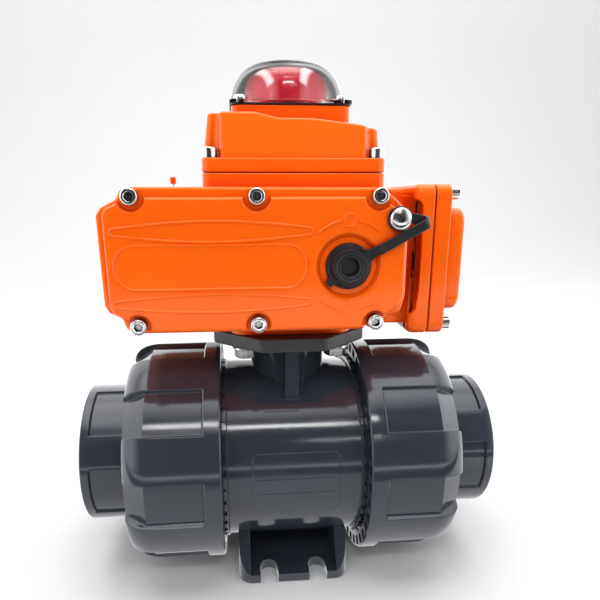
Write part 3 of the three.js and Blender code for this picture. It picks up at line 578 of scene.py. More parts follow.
def valve_body():
    inner_end = 44.2
    profile = [
        (0, -body_end), (59.2, -body_end), (thread_root, -body_end + 1.1), (thread_root, -inner_end),
        (61.4, -inner_end), (61.4, -41.8), (barrel_radius, -41.2), (barrel_radius, 41.2),
        (61.4, 41.8), (61.4, inner_end), (thread_root, inner_end), (thread_root, body_end - 1.1),
        (59.2, body_end), (0, body_end),
    ]
    barrel = turned(profile, "x", pipe_at)
    notches = []
    for side in (-1, 1):
        for i in range(40):
            tooth = block(*sorted((side * 42.6, side * 45)), -2.2, 2.2, barrel_radius - 0.2, 64)
            turn = Matrix.Rotation(TURN * i / 40, 4, "X")
            tooth.data.transform(Matrix.Translation(pipe_at) @ turn)
            notches.append(tooth)
    cut(barrel, *notches)

    top = neck_top
    neck = softened(bar(24.5, pipe_z + 40, top, "z", steps=72), 0.8)
    column = softened(block(-9.5, 9.5, -25.2, 25.2, pipe_z + 40, top), 0.8)
    web = softened(block(-4.4, 4.4, -37, 37, pipe_z + 40, top), 0.8)
    ledge = softened(block(-4.9, 4.9, -38.6, 38.6, pipe_z + 36, pipe_z + 48.4), 0.6)
    base = rectangle(-36, 36, -52.3, 52.3, 9)
    small = rectangle(-35.2, 35.2, -51.5, 51.5, 8.2)
    floor = loft([[(x, y, z) for x, y in ring] for ring, z in ((small, 0), (base, 0.8), (base, 6.5))])
    wall_side = filleted([(-52.3, 0), (52.3, 0), (52.3, 6.5), (37, 36), (-37, 36), (-52.3, 6.5)],
                         [0, 0, 3, 3, 3, 3])
    walls = [softened(prism(wall_side, x, x + 7.5, "x"), 0.7) for x in (-36, 28.5)]
    limit = prism(base, 0.8, 50)
    walls = common(join(walls[0], walls[1], block(-35, 35, -4, 4, 1, 40)), limit)
    whole = join(barrel, neck, column, web, ledge, floor, walls)

    slots = []
    for x in (-16.3, 16.3):
        for end in (-1, 1):
            centre, outside = end * (52.3 - 16 + 5.9), end * 60
            points = arc((x, centre), 5.9, 0, 180, 12) if end < 0 else arc((x, centre), 5.9, 180, 360, 12)
            points += [(points[-1][0], outside), (points[0][0], outside)]
            slots.append(prism(points, -2, 9))
    retainer = 49.0
    rooms = turned([
        (0, -body_end - 1), (flow_radius, -body_end - 1), (flow_radius, -36.3), (42.3, -36.3), (42.3, -26),
        (47.5, -26), (47.5, 26), (retainer, 26), (retainer, body_end + 1), (0, body_end + 1),
    ], "x", pipe_at)
    grooves = [
        turned([(51, s * (body_end - 4.4)), (57, s * (body_end - 4.4)), (57, s * (body_end + 1)),
                (51, s * (body_end + 1))], "x", pipe_at, closed=True)
        for s in (-1, 1)
    ]
    stem_bore = [bar(12.4, pipe_z + 30, top + 1, "z"), bar(15.5, pipe_z + 30, pipe_z + 52, "z")]
    cut(whole, *slots, rooms, *grooves, *stem_bore)
    threads = [
        screw_thread(thread_root, thread_crest, 47.5, body_end - 1.5, 0, 1.5, 0.6),
        screw_thread(thread_root, thread_crest, -body_end + 1.5, -47.5, 0, 1.5, 0.6),
    ]
    return stand_for("valve_body", join(whole, *threads))


def blended(low, high, share):
    return low + (high - low) * share


def union_nut(word, side, first):
    """A union nut: raised and sunken panels take turns between its rear flange and its nose."""
    radius, sunk = 73.6, 70.9
    bore, nose_bore = 62.6, 47.2
    shoulder = 88.7
    rear, nose = 44.5, 103.6
    panel = 22.5

    raised = [(rear, 72.2), (rear + 0.5, 73.1), (rear + 1.4, radius), (52, radius), (54.9, radius),
              (55.5, radius), (56.2, radius), (57.4, radius), (72, radius), (86.5, radius)]
    low = [(rear, 72.2), (rear + 0.5, 73.1), (rear + 1.4, radius), (52, radius), (54.8, radius),
           (55.4, radius - 0.5), (55.7, radius - 2), (56.0, sunk), (72, sunk), (90.2, sunk)]
    for i in range(1, 11):
        angle = math.radians(9 * i)
        raised.append((86.5 + 17.7 * math.sin(angle) ** 0.94, 62.4 + 11.2 * math.cos(angle) ** 0.9))
        share = i / 10
        low.append((blended(90.8, nose + 0.3, share), blended(70.5, 61.2, share)))
    inner = [(nose, 58), (nose, 48.2), (nose - 1, nose_bore), (shoulder, nose_bore), (shoulder, bore),
             (72, bore), (rear + 1, bore), (rear, bore + 1)]

    rings = []
    for k in range(16):
        start = first + panel * k
        level = 1.0 if k % 2 == 0 else 0.0
        other = 1.0 - level
        steps = [(start, 0.5), (start + 0.2, blended(other, level, 0.85)),
                 (start + 0.42, blended(other, level, 0.97)), (start + 0.7, level)]
        for i in range(1, 9):
            steps.append((start + 0.7 + (panel - 1.4) * i / 9, level))
        steps += [(start + panel - 0.7, level), (start + panel - 0.42, blended(other, level, 0.97)),
                  (start + panel - 0.2, blended(other, level, 0.85))]
        for degrees, height in steps:
            angle = math.radians(degrees)
            ring = []
            for (x0, r0), (x1, r1) in zip(low, raised):
                x, r = blended(x0, x1, height), blended(r0, r1, height)
                ring.append((side * x, -r * math.cos(angle), pipe_z + r * math.sin(angle)))
            for x, r in inner:
                ring.append((side * x, -r * math.cos(angle), pipe_z + r * math.sin(angle)))
            rings.append(ring)
    nut = loft(rings, closed=True)

    pockets = []
    for i in range(40):
        ends = sorted((side * (rear - 1), side * (rear + 3.2)))
        pocket = prism(rectangle(-3.3, 3.3, 66.2, 71.9, 0.6, 3), *ends, "x")
        pocket.data.transform(Matrix.Translation(pipe_at) @ Matrix.Rotation(TURN * i / 40, 4, "X"))
        pockets.append(pocket)
    cut(nut, *pockets)
    start, end = sorted((side * 47.5, side * 80))
    ridge = screw_thread(bore, 61.0, start, end, math.pi, 1.5, 0.6)
    return stand_for(f"{word}_union_nut", join(nut, ridge))


def end_connector(word, side, first):
    """An end connector. Five sunken panels run along its socket, with a rib between each two."""
    inner, flange, back = body_end + 0.3, 61.8, 88.4
    outer, relief = 46.0, 1.5
    half_rib, ribs = 12.9, 5
    pitch = 360 / ribs
    rings = []
    for k in range(ribs):
        middle_angle = first + pitch * k
        steps = [(middle_angle + half_rib * (i / 4 - 1), 0.0) for i in range(9)]
        edge = middle_angle + half_rib
        steps += [(edge + 0.35, 0.12), (edge + 0.6, 0.5), (edge + 0.85, 0.88)]
        gap = pitch - 2 * half_rib - 2.4
        steps += [(edge + 1.2 + gap * i / 12, 1.0) for i in range(13)]
        steps += [(edge + pitch - 2 * half_rib - back_off, 1 - level)
                  for back_off, level in ((0.85, 0.12), (0.6, 0.5), (0.35, 0.88))]
        for degrees, level in steps:
            r = outer - relief * level
            angle = math.radians(degrees)
            profile = [
                (inner, flow_radius), (inner, flange - 0.8), (inner + 0.8, flange), (back - 0.8, flange),
                (back, flange - 0.8), (back, r + 2.5), (back + 0.8, r + 0.8), (back + 2.5, r),
                (pipe_end - 6.2, r), (pipe_end - 5.8, blended(r, outer, 0.6)), (pipe_end - 5.2, outer),
                (pipe_end - 1.1, outer), (pipe_end - 0.3, outer - 0.35), (pipe_end, outer - 1.1),
                (pipe_end, 38.9), (pipe_end - 1.6, 37.6), (pipe_end - 43.5, 37.5),
                (pipe_end - 43.5, flow_radius + 0.6), (pipe_end - 44.1, flow_radius),
            ]
            rings.append([(side * x, -radius * math.cos(angle), pipe_z + radius * math.sin(angle))
                          for x, radius in profile])
    return stand_for(f"{word}_end_connector", loft(rings, closed=True))


def valve_inside():
    """The ball, stem, seats, retainer and face seals."""
    ball_radius, ball_bore = 46.0, 31.5
    face = math.sqrt(ball_radius ** 2 - ball_bore ** 2)
    reach = math.degrees(math.asin(face / ball_radius))
    outline = arc((0, 0), ball_radius, -reach, reach, 40)
    profile = [(ball_bore + 0.8, -face + 0.3), *outline[1:-1], (ball_bore + 0.8, face - 0.3),
               (ball_bore, face - 1), (ball_bore, -face + 1)]
    ball = turned(profile, "x", pipe_at, closed=True)
    stand_for("ball", cut(ball, block(-4.3, 4.3, -30, 30, pipe_z + 37, pipe_z + 60)))

    stem_top = box("valve_stem")[2][1]
    shaft = turned([(0, 46.6), (14.4, 46.6), (15, 47.2), (15, 51), (14.4, 51.6), (12, 51.6), (12, 56),
                    (10.6, 56), (10.6, 59), (12, 59), (12, 62), (10.6, 62), (10.6, 65), (12, 65), (12, 80.9),
                    (11.4, 81.5), (0, 81.5)], "z", pipe_at, 64)
    tang = block(-4, 4, -12, 12, pipe_z + 37.5, pipe_z + 48)
    square = softened(block(-7, 7, -7, 7, pipe_z + 80, stem_top), 0.7)
    stand_for("valve_stem", join(shaft, tang, square))
    for number, height in enumerate((57.5, 63.5)):
        seal = turned(circle(11.2, height, 1.3, 12), "z", pipe_at, 64, closed=True)
        finished(seal, f"stem_seal_{number + 1}", "drive", "seal_rubber")

    seat_bore, seat_back, seat_face, seat_cone = 32.2, 36, 26, 46.3
    lip = seat_cone / math.sqrt(0.5) - seat_bore
    seat = [(seat_bore, lip), (39.2, seat_face + 0.3), (39.8, seat_face), (41.7, seat_face),
            (42, seat_face + 0.3), (42, seat_back - 0.3), (41.7, seat_back), (32.6, seat_back),
            (seat_bore, seat_back - 0.4)]
    for word, side in (("left", -1), ("right", 1)):
        stand_for(f"seat_{word}", turned([(r, side * x) for r, x in seat], "x", pipe_at, closed=True))
        section = [(r, side * x) for r, x in circle(54, body_end - 2.2, 2.1, 16)]
        stand_for(f"face_seal_{word}", turned(section, "x", pipe_at, closed=True))

    outer, pocket = 48.7, 42.3
    ring = turned([(pocket, 26.3), (outer - 0.5, 26.3), (outer, 26.8), (outer, 75), (outer - 0.5, 75.5),
                   (flow_radius + 0.6, 75.5), (flow_radius, 74.9), (flow_radius, 36.3), (pocket, 36.3)],
                  "x", pipe_at, closed=True)
    keys = [block(71, 77, -4, 4, pipe_z + low, pipe_z + high) for low, high in ((-50, -34), (34, 50))]
    stand_for("seat_retainer", cut(ring, *keys))


def barrel_rib(path, radius):
    """A thin round rib on the barrel's front, along a closed path of (x, degrees above the front)."""
    rings = []
    count = len(path)
    for i, (x, degrees) in enumerate(path):
        angle = math.radians(degrees)
        before, after = path[i - 1], path[(i + 1) % count]
        rise = math.radians(after[1] - before[1]) * barrel_radius
        along = Vector((after[0] - before[0], rise)).normalized()
        ring = []
        for k in range(8):
            turn = TURN * k / 8
            aside, out = radius * math.cos(turn), barrel_radius + radius * (math.sin(turn) - 0.3)
            there = angle + along.x * aside / barrel_radius
            ring.append((x - along.y * aside, -out * math.cos(there), pipe_z + out * math.sin(there)))
        rings.append(ring)
    return loft(rings, closed=True)


def label():
    """A plain generic label: a thin raised frame with two bars, and a small frame above it."""
    def frame_path(left, right, low, high, corner):
        scale = math.degrees(1 / barrel_radius)
        outline = rectangle(left, right, low / scale, high / scale, corner, 6)
        path = []
        for (x0, v0), (x1, v1) in zip(outline, outline[1:] + outline[:1]):
            count = max(1, int(math.hypot(x1 - x0, v1 - v0) / 2.5))
            path += [(blended(x0, x1, i / count), blended(v0, v1, i / count) * scale) for i in range(count)]
        return path

    return {
        "label_frame": barrel_rib(frame_path(-26.2, 27.6, -20, 18.8, 4), 0.33),
        "label_bar_1": barrel_rib(frame_path(-23.5, 25, 3.1, 3.5, 0.15), 0.24),
        "label_bar_2": barrel_rib(frame_path(-23.5, 25, -6.2, -5.8, 0.15), 0.24),
        "upper_frame": barrel_rib(frame_path(-18.4, 3.8, 43.8, 48.8, 1.5), 0.3),
    }


# ---------------------------------------------------------------- fasteners
# Each is made upright at the origin, with the underside of its head at zero.


def hex_tool(across, low, high):
    return prism(arc((0, 0), across / math.sqrt(3), 0, 300, 5), low, high)


def cap_screw(radius, height, shank, length, key):
    """A socket cap screw with a domed rim and a hexagonal socket."""
    edge = min(0.9, radius * 0.22)
    key_corner = key / math.sqrt(3)
    profile = [(0, -length), (shank - 0.4, -length), (shank, -length + 0.4), (shank, 0), (radius - 0.15, 0),
               (radius, 0.15), (radius, height - edge)]
    rim, crest = radius - edge, height - edge
    profile += [(rim + edge * math.cos(a), crest + edge * math.sin(a)) for a in quarter(4, 1)]
    profile += [(key_corner + 0.35, height), (0, height)]
    screw = turned(profile, "z", steps=36)
    countersink = turned([(0, height - 0.3), (key_corner - 0.1, height - 0.3),
                          (key_corner + 0.5, height + 0.3), (0, height + 0.3)], "z", steps=24)
    return cut(screw, hex_tool(key, height * 0.42, height + 1), countersink)


def pan_screw(radius, height, shank, length, key):
    """A domed screw with a hexagonal socket."""
    profile = [(0, -length), (shank, -length), (shank, 0), (radius, 0)]
    profile += [(radius * math.cos(a) ** 0.6, 0.5 + (height - 0.5) * math.sin(a)) for a in quarter(8)[:-1]]
    profile.append((0, height))
    return cut(turned(profile, "z", steps=36), hex_tool(key, height * 0.4, height + 1))


def hex_bolt(across, height, shank, length):
    """A hexagon head bolt with a chamfered head."""
    wide = across / math.sqrt(3) + 2
    cone = turned([(0, -1), (wide, -1), (wide, height - 2.2), (across / 2 - 0.4, height + 0.01),
                   (0, height + 0.01)], "z", steps=48)
    head = softened(common(hex_tool(across, 0, height), cone), 0.25, 2, 40)
    return join(head, turned([(0, -length), (shank - 0.6, -length), (shank, -length + 0.6), (shank, 0.5),
                              (0, 0.5)], "z", steps=32))


def washer(outer, inner, thick):
    return turned([(inner, 0), (outer - 0.2, 0), (outer, 0.2), (outer, thick - 0.2), (outer - 0.2, thick),
                   (inner, thick)], "z", steps=40, closed=True)


def set_at(obj, place, heading, spin=0.0):
    """Turns an upright shape to its heading and moves it into place."""
    turn = Vector((0, 0, 1)).rotation_difference(Vector(heading)).to_matrix().to_4x4()
    obj.data.transform(Matrix.Translation(place) @ turn @ Matrix.Rotation(math.radians(spin), 4, "Z"))
    return obj


def fastener_at(node, shape, heading, spin, seat):
    """Puts a fastener where its CAD node is: on its centre line, with its head's underside in place."""
    place = list(centre_of(node))
    place[[abs(part) for part in heading].index(1)] = seat
    return stand_for(node, set_at(shape, place, heading, spin))


def fasteners():
    front, up, right, down = (0, -1, 0), (0, 0, 1), (1, 0, 0), (0, 0, -1)
    spins = (12, 47, 31, 8, 22, 39)
    for i, spin in enumerate(spins):
        node = f"front_cover_screw_{i + 1}"
        fastener_at(node, cap_screw(4.4, 5, 2.3, 16.5, 4.3), front, spin, box(node)[1][0] + 5)
    for i, spin in enumerate(spins[:4]):
        node = f"top_cover_bolt_{i + 1}"
        fastener_at(node, cap_screw(4.2, 5.6, 2.2, 14.5, 3.4), up, spin, box(node)[2][1] - 5.6)
        node = f"dome_screw_{i + 1}"
        fastener_at(node, pan_screw(4.0, 2.9, 1.6, 8.5, 2.4), up, spin, box(node)[2][1] - 2.9)
        node = f"terminal_cover_bolt_{i + 1}"
        fastener_at(node, cap_screw(3.8, 6.4, 2.2, 17.5, 3.2), right, spin, box(node)[0][1] - 6.4)
        node = f"mounting_bolt_{i + 1}"
        seat = box(node)[2][0] + 7.4
        place = (*centre_of(node)[:2], seat)
        finished(set_at(washer(8.4, 4.0, 1.5), place, down), f"mounting_washer_{i + 1}", "frame", "stainless")
        fastener_at(node, hex_bolt(12.6, 5.6, 3.6, 18), down, spin * 2, seat - 1.6)
    node = "strap_screw"
    fastener_at(node, pan_screw(5.9, 2.4, 1.7, 8.2, 2.8), front, 20, box(node)[1][0] + 2.2)


# ---------------------------------------------------------------- the actuator

screw_places = [centre_of(f"front_cover_screw_{i + 1}")[::2] for i in range(6)]
plug_x, _, plug_z = centre_of("override_plug")
lid_rim = oblong(50.3, 52, 5)
lid_room = 41.5
lid_bolts = corners(46, 46)
plate_bolts = corners(28.3, 28.3)
dome_bolts = corners(28.4, 28.4)
terminal_bolts = [(y, z) for y in (-32, 32) for z in (170.6, 249.6)]


def case_outline(inset=0.0):
    """The cover's rim, seen from the front: straight sides, corners cut back, lobes at the screws."""
    points = [
        (-84, 175.4), (34.5, 175.2), (39.3, 177.2), (48.8, 177.2), (50, 182.8), (58.6, 184.8), (61, 194),
        (60.8, 233), (58.7, 241.5), (54, 245.8), (50, 249.2), (45.3, 252.4),
        (-86.6, 252.9), (-91.8, 251.2), (-93.8, 246.7), (-102.2, 242.4), (-104.8, 238.6),
        (-104.2, 191.3), (-102, 187.2), (-95.4, 184.0), (-93.4, 178.2), (-88.6, 175.4),
    ]
    mid_x, mid_z = -21.5, 214
    points = [(x - math.copysign(inset, x - mid_x), z - math.copysign(inset, z - mid_z)) for x, z in points]
    return filleted(points, 3.2, 4)


def housing():
    """The case, with its foot, its top flange, and the flange of the terminal box on the right."""
    shell = softened(prism(case_outline(0.5), -60, 60, "y"), 1.2, 3, 40)
    pad = softened(prism(oblong(38, 38, 12), plate_high, 177), 0.8)
    flange = softened(prism(lid_rim, 248, 260.2), 0.8, 3)
    neck = softened(block(56, 78, -36, 31, 171.5, 252.6), 3.0, 4)
    side_x, side_end, side_round = 71.6, 84.05, 4.5
    side_steps = [(side_x + side_round * (1 - math.cos(a)), side_round * (1 - math.sin(a)),
                   6.5 - side_round * (1 - math.sin(a)) / 2) for a in quarter(5)]
    side_steps += [(side_end - 0.65, 0, 6.5), (side_end, 0.65, 6.5)]
    side = loft([[(x, y, z) for y, z in rectangle(-40 + inset, 40 - inset, 165 + inset, 255 - inset, corner)]
                 for x, inset, corner in side_steps])
    waist = [(60, 183), (73, 177), (75.6, 182), (77, 194), (77.2, 217), (76.6, 243), (73.5, 246.5), (60, 241)]
    side = softened(cut(side, prism(filleted(waist, 3, 4), -50, 50, "y")), 0.7, 2, 40)
    whole = join(shell, pad, flange, neck, side)
    room = prism(filleted([(-85, 180), (45, 180), (46, 186), (56.5, 190), (56.5, 236), (44, 247), (-84, 247),
                           (-88, 241), (-97.5, 236), (-97.5, 193), (-88, 188)], 2), -61, 55, "y")
    hatch = block(-35, 35, -35, 35, 246, 256)
    hatch_upper = block(-lid_room, lid_room, -lid_room, lid_room, 253.4, 262)
    wiring = block(56, 85, -26, 26, 182, 240)
    shaft = bar(15.6, plate_high - 1, 181, "z")
    cut(whole, room, hatch, hatch_upper, wiring, shaft)
    join(whole, *bars(4.9, -60, -43.5, "y", screw_places, SMALL))
    holes = bars(2.8, -61, -44, "y", screw_places)
    holes += bars(2.6, 249, 262, "z", lid_bolts)
    holes += bars(2.6, 70, 85, "x", terminal_bolts)
    holes += bars(4, plate_high - 1, 177, "z", plate_bolts)
    holes += bars(9.8, 54, 61, "y", ((42, 195), (42, 227)), 32)
    stand_for("actuator_housing", cut(whole, *holes))

    cap = softened(prism(rectangle(-78.1, -74.1, 46.5, 50.7, 0.8), 257, 261.8), 0.5)
    finished(cap, "vent_pin_cap", "frame", "orange_paint")
    finished(bar(0.6, 250, 257.4, "z", (-76.1, 48.6, 0), 20), "vent_pin", "frame", "stainless")


def lens(left, right, centre, half, tip=1.6, steps=26):
    """A long outline that swells in its middle, with small round ends, as (x, z) points."""
    shares = [i / steps for i in range(steps + 1)]
    bulges = [tip + (half - tip) * math.sin(math.pi * share) for share in shares]
    points = [(blended(left, right, share), centre - bulge) for share, bulge in zip(shares, bulges)]
    points += [(blended(left, right, 1 - share), centre + bulge) for share, bulge in zip(shares, bulges)]
    return filleted(points, 1.2, 2)


def front_outline(obj, y):
    """The outline of an object's flat front face at a depth, as (x, z) points in order."""
    bm = bmesh.new()
    bm.from_mesh(tidied(obj).data)
    front = [face for face in bm.faces if all(abs(vert.co.y - y) < 1e-3 for vert in face.verts)]
    following = {}
    for face in front:
        for loop in face.loops:
            if loop.link_loop_radial_next.face not in front:
                following[loop.vert] = loop.link_loop_next.vert
    vert = next(iter(following))
    points = []
    for _ in following:
        points.append((vert.co.x, vert.co.z))
        vert = following[vert]
    bm.free()
    return points


def round_edged(outline, back, face, inset, depth):
    """A plate along Y from an outline of (x, z) points, with the edge of its front face rounded over."""
    clear, sharp = inset * 1.25, math.radians(28)
    points = [Vector(p) for i, p in enumerate(outline) if (Vector(p) - Vector(outline[i - 1])).length > 0.15]

    def sides(i):
        before = points[i] - points[i - 1]
        after = points[(i + 1) % len(points)] - points[i]
        return before.normalized(), after.normalized()

    bends = [point for i, point in enumerate(points) if sides(i)[0].angle(sides(i)[1]) > sharp]
    points = [point for point in points
              if point in bends or all((point - bend).length > clear for bend in bends)]
    area = sum(a.x * b.y - b.x * a.y for a, b in zip(points, points[1:] + points[:1]))
    inward = []
    for i in range(len(points)):
        before, after = sides(i)
        normal = Vector((-before.y - after.y, before.x + after.x)) * math.copysign(1, area)
        inward.append(normal / (1 + before.dot(after)))
    rings = [[(p.x, back, p.y) for p in points]]
    for angle in quarter(5):
        shift = inset * (1 - math.cos(angle))
        y = face + depth * (1 - math.sin(angle))
        rings.append([(p.x + n.x * shift, y, p.y + n.y * shift) for p, n in zip(points, inward)])
    return loft(rings)


def front_cover():
    face, rim, back = -66.7, -64.0, -60.3
    rim_plate = softened(prism(case_outline(), rim, back, "y"), 1.7, 4, 40)
    panel_outline = filleted([
        (-82, 176.2), (40, 176.2), (45.5, 181.2), (57.2, 188.6), (59.6, 195), (59.4, 232), (56.5, 239.5),
        (46, 247), (44, 247.8), (-84, 247.8), (-94.8, 244.6), (-99.6, 242), (-101.4, 239), (-101, 190.5),
        (-99, 187), (-92, 183.5), (-86, 180),
    ], [0, 0, 0, 4, 4, 4, 4, 0, 0, 0, 2.5, 2.5, 2.5, 2.5, 2.5, 2.5, 0], 4)
    panel = prism(panel_outline, face, rim + 0.6, "y")
    scallops = []
    for x, z in screw_places:
        if z > 214:
            scallops.append(bar(7.0, face - 1, rim + 2, "y", (x, 0, z), 48))
        else:
            outline = arc((x, z - 0.4), 5.8, 0, 180, 24) + [(x - 5.8, 170), (x + 5.8, 170)]
            scallops.append(prism(outline, face - 1, rim + 2, "y"))
    slope = [(19.0 - 5.2 * i / 12, face + 3.5 * (1 - math.cos(math.pi * i / 12)) / 2) for i in range(13)]
    dish = turned([(0, face - 1), (19.3, face - 1), (19.3, face - 0.02), *slope, (0, face + 3.5)], "y",
                  (plug_x, 0, plug_z), 72)
    flat_panel = cut(panel, *scallops)
    panel = round_edged(front_outline(flat_panel, face), rim + 0.6, face, 1.9, 2.4)
    bpy.data.objects.remove(flat_panel)
    cut(panel, dish)
    height = face + 0.25
    ribs = [
        rib(lens(-97.4, 8.0, 230.0, 5.4), height, 0.95, True),
        rib(rectangle(-96.9, 5.1, 199.8, 223.2, 11.2, 14), height, 0.95, True),
        rib(lens(-98.2, 7.4, 192.1, 4.9), height, 0.8, True),
        rib(arc((plug_x, plug_z), 24.6, 133, 101, 14), height, 0.9),
        rib(arc((plug_x, plug_z), 24.6, 79, 50, 14), height, 0.9),
        rib(arc((plug_x, plug_z), 24.6, 229, 259, 14), height, 0.6),
        rib(arc((plug_x, plug_z), 24.6, 281, 311, 14), height, 0.6),
        rib(arc((plug_x, plug_z + 24.6), 3.3, 0, 342, 19), height, 0.8, True),
        rib(arc((plug_x, plug_z - 24.6), 3.1, 0, 342, 19), height, 0.55, True),
    ]
    boss = bar(13, -62, -47, "y", (plug_x, 0, plug_z), 48)
    whole = join(panel, rim_plate, boss, *ribs)
    holes = bars(2.8, face - 1, -59, "y", screw_places)
    holes.append(bar(8.4, face - 1, -40, "y", (plug_x, 0, plug_z), 48))
    holes += bars(2.1, face - 1, -59, "y", [centre_of("strap_screw")[::2]])
    return stand_for("front_cover", cut(whole, *holes))


def plus_outline(reach_x0, reach_x1, reach_y, arm, convex=6.0, concave=5.0):
    """A cross in plan: four arms with rounded outer and inner corners."""
    points = [
        (-arm, -reach_y), (arm, -reach_y), (arm, -arm), (reach_x1, -arm), (reach_x1, arm), (arm, arm),
        (arm, reach_y), (-arm, reach_y), (-arm, arm), (reach_x0, arm), (reach_x0, -arm), (-arm, -arm),
    ]
    return filleted(points, [convex, convex, concave] * 4, 7)


def top_cover():
    """The lid: a flange, four arms that slope inwards, and a turret for the indicator."""
    arms = loft([[(x, y, z) for x, y in plus_outline(x0, x1, reach, arm)]
                 for z, x0, x1, reach, arm in ((266.6, -50, 50, 49.5, 41), (294, -46.3, 46.9, 45.4, 40.2))])
    slope = filleted([(-60, 260), (60, 260), (60, 282.4), (31, 286.4), (10, 288.8), (-8, 288.8),
                      (-21.5, 291.7), (-60, 291.7)], [0, 0, 0, 12, 12, 8, 8, 0], 6)
    arms = softened(common(arms, prism(slope, -60, 60, "y")), 1.3, 3, 28)
    flange = softened(prism(lid_rim, 260.6, 267.9), 0.8, 3)
    turret = softened(prism(oblong(33.6, 33.6, 5), 281, 297.2), 0.8, 3)
    whole = join(flange, arms, turret)
    rooms = [
        block(-lid_room, lid_room, -lid_room, lid_room, 259, 264),
        block(-lid_room, lid_room, -37, 37, 263, 279),
        block(-37, 37, -lid_room, lid_room, 263, 282),
        bar(12, 281, 298, "z"),
    ]
    holes = bars(2.6, 259, 269, "z", lid_bolts) + bars(2, 286, 298, "z", dome_bolts, 16)
    return stand_for("top_cover", cut(whole, *rooms, *holes))


def indicator():
    """The clear dome with its flange and gasket, and the red drum under it."""
    base, flange_top, half = 297.2, 300.0, 34.7
    radius, crown, straight, top, wall = 34.4, 18.0, 300.6, 322.9, 2.5
    flange = softened(prism(oblong(half, half, 5), base + 0.7, flange_top), 0.4, 2)

    def shell(inset, bottom):
        profile = [(0, bottom), (radius - inset, bottom), (radius - inset, straight)]
        reach, rise = radius - inset - crown, top - inset - straight
        profile += [(crown + reach * math.cos(a), straight + rise * math.sin(a)) for a in quarter(14, 1)]
        return turned([*profile, (0, top - inset)], "z")

    dome = join(flange, shell(0, base + 1.2))
    holes = bars(2, base - 1, flange_top + 1, "z", dome_bolts)
    stand_for("indicator_dome", cut(dome, shell(wall, base - 1), *holes))
    opening = bar(31.9, base - 1, base + 2, "z", steps=ROUND)
    gasket("dome", oblong(34.2, 34.2, 5), base + 0.05, base + 0.7, "z",
           opening, *bars(2, base - 1, base + 2, "z", dome_bolts, 16))

    bottom, shoulder, drum_top = 300.6, 310.5, 320.1
    wide, narrow = 25.0, 16.5
    profile = [(0, bottom), (wide - 0.5, bottom), (wide, bottom + 0.5), (wide, shoulder)]
    profile += [(narrow + (wide - narrow) * math.cos(a), shoulder + (drum_top - shoulder) * math.sin(a))
                for a in quarter(10, 1)]
    drum = turned([*profile, (0, drum_top)], "z")
    return stand_for("indicator_drum", cut(drum, bar(5.3, bottom - 1, 311.4, "z")))


def terminal_cover():
    low, high = 84.55, 94.1
    flange = softened(prism(rectangle(-40, 40, 165, 255, 6.5), low, high, "x"), 1.2, 3)
    swell = softened(prism(rectangle(-34, 34, 178.2, 241.4, 9.5), high - 3, 105.9, "x"), 3.2, 5, 40)
    inside = block(low - 1, 101.9, -29, 29, 184, 237)
    whole = cut(join(flange, swell), inside, *bars(2.6, low - 1, high + 1, "x", terminal_bolts))
    return stand_for("terminal_cover", whole)


def gasket(name, outline, low, high, axis, *openings):
    sheet = cut(prism(outline, low, high, axis), *openings)
    return finished(sheet, f"{name}_gasket", "frame", "seal_rubber")


def gaskets():
    """The thin dark joints between the case and its covers."""
    gasket("top_cover", oblong(49.3, 51, 5), 260.15, 260.65, "z",
           block(-lid_room, lid_room, -lid_room, lid_room, 259, 262))
    gasket("front_cover", case_outline(1.4), -60.35, -59.95, "y", prism(case_outline(6.5), -61, -59, "y"))
    gasket("terminal", rectangle(-38.8, 38.8, 166.2, 253.8, 6), 84.05, 84.55, "x",
           block(83, 86, -26.5, 26.5, 182, 240))


def mounting_plate():
    """The octagonal plate between the valve and the actuator."""
    apothem = 48.5
    corner = apothem * math.tan(math.pi / 8)
    octagon = [(-corner, -apothem), (corner, -apothem), (apothem, -corner), (apothem, corner),
               (corner, apothem), (-corner, apothem), (-apothem, corner), (-apothem, -corner)]
    plate = softened(prism(filleted(octagon, 6), plate_low, plate_high), 1.0, 3)
    holes = bars(4, plate_low - 1, plate_high + 1, "z", plate_bolts, 28)
    return stand_for("mounting_plate", cut(plate, bar(14, plate_low - 1, plate_high + 1, "z"), *holes))


def override_plug():
    """The rubber plug over the hand drive, with a ribbed cup and a pull tab."""
    profile = [
        (0, -59), (7.4, -59), (8, -59.6), (8, -63.3), (12, -63.3), (12.6, -63.8), (12.6, -65.2),
        (12.2, -65.8), (11.4, -66.0), (10.4, -66.3), (10.0, -67), (9.95, -70.4), (9.6, -71), (8.9, -71.3), (7.7, -71.25),
        (7.2, -70.8), (6.6, -70.7), (5.6, -70.9), (5.1, -70.5), (4.8, -67), (4.2, -66.3), (0, -66.2),
    ]
    plug = turned(profile, "y", (plug_x, 0, plug_z), 64)
    tab_out = Vector((17.0 - plug_x, 201.8 - plug_z)).normalized()
    side = Vector((-tab_out.y, tab_out.x))
    centre = Vector((plug_x, plug_z))
    points = []
    for along, across in ((9, -3.4), (12.5, -2.1), (15.2, -2.3), (15.2, 2.3), (12.5, 2.1), (9, 3.4)):
        points.append(tuple(centre + tab_out * along + side * across))
    tab = softened(prism(filleted(points, 1.8, 5), -67.6, -64.6, "y"), 0.5, 3, 40)
    return stand_for("override_plug", join(plug, tab))


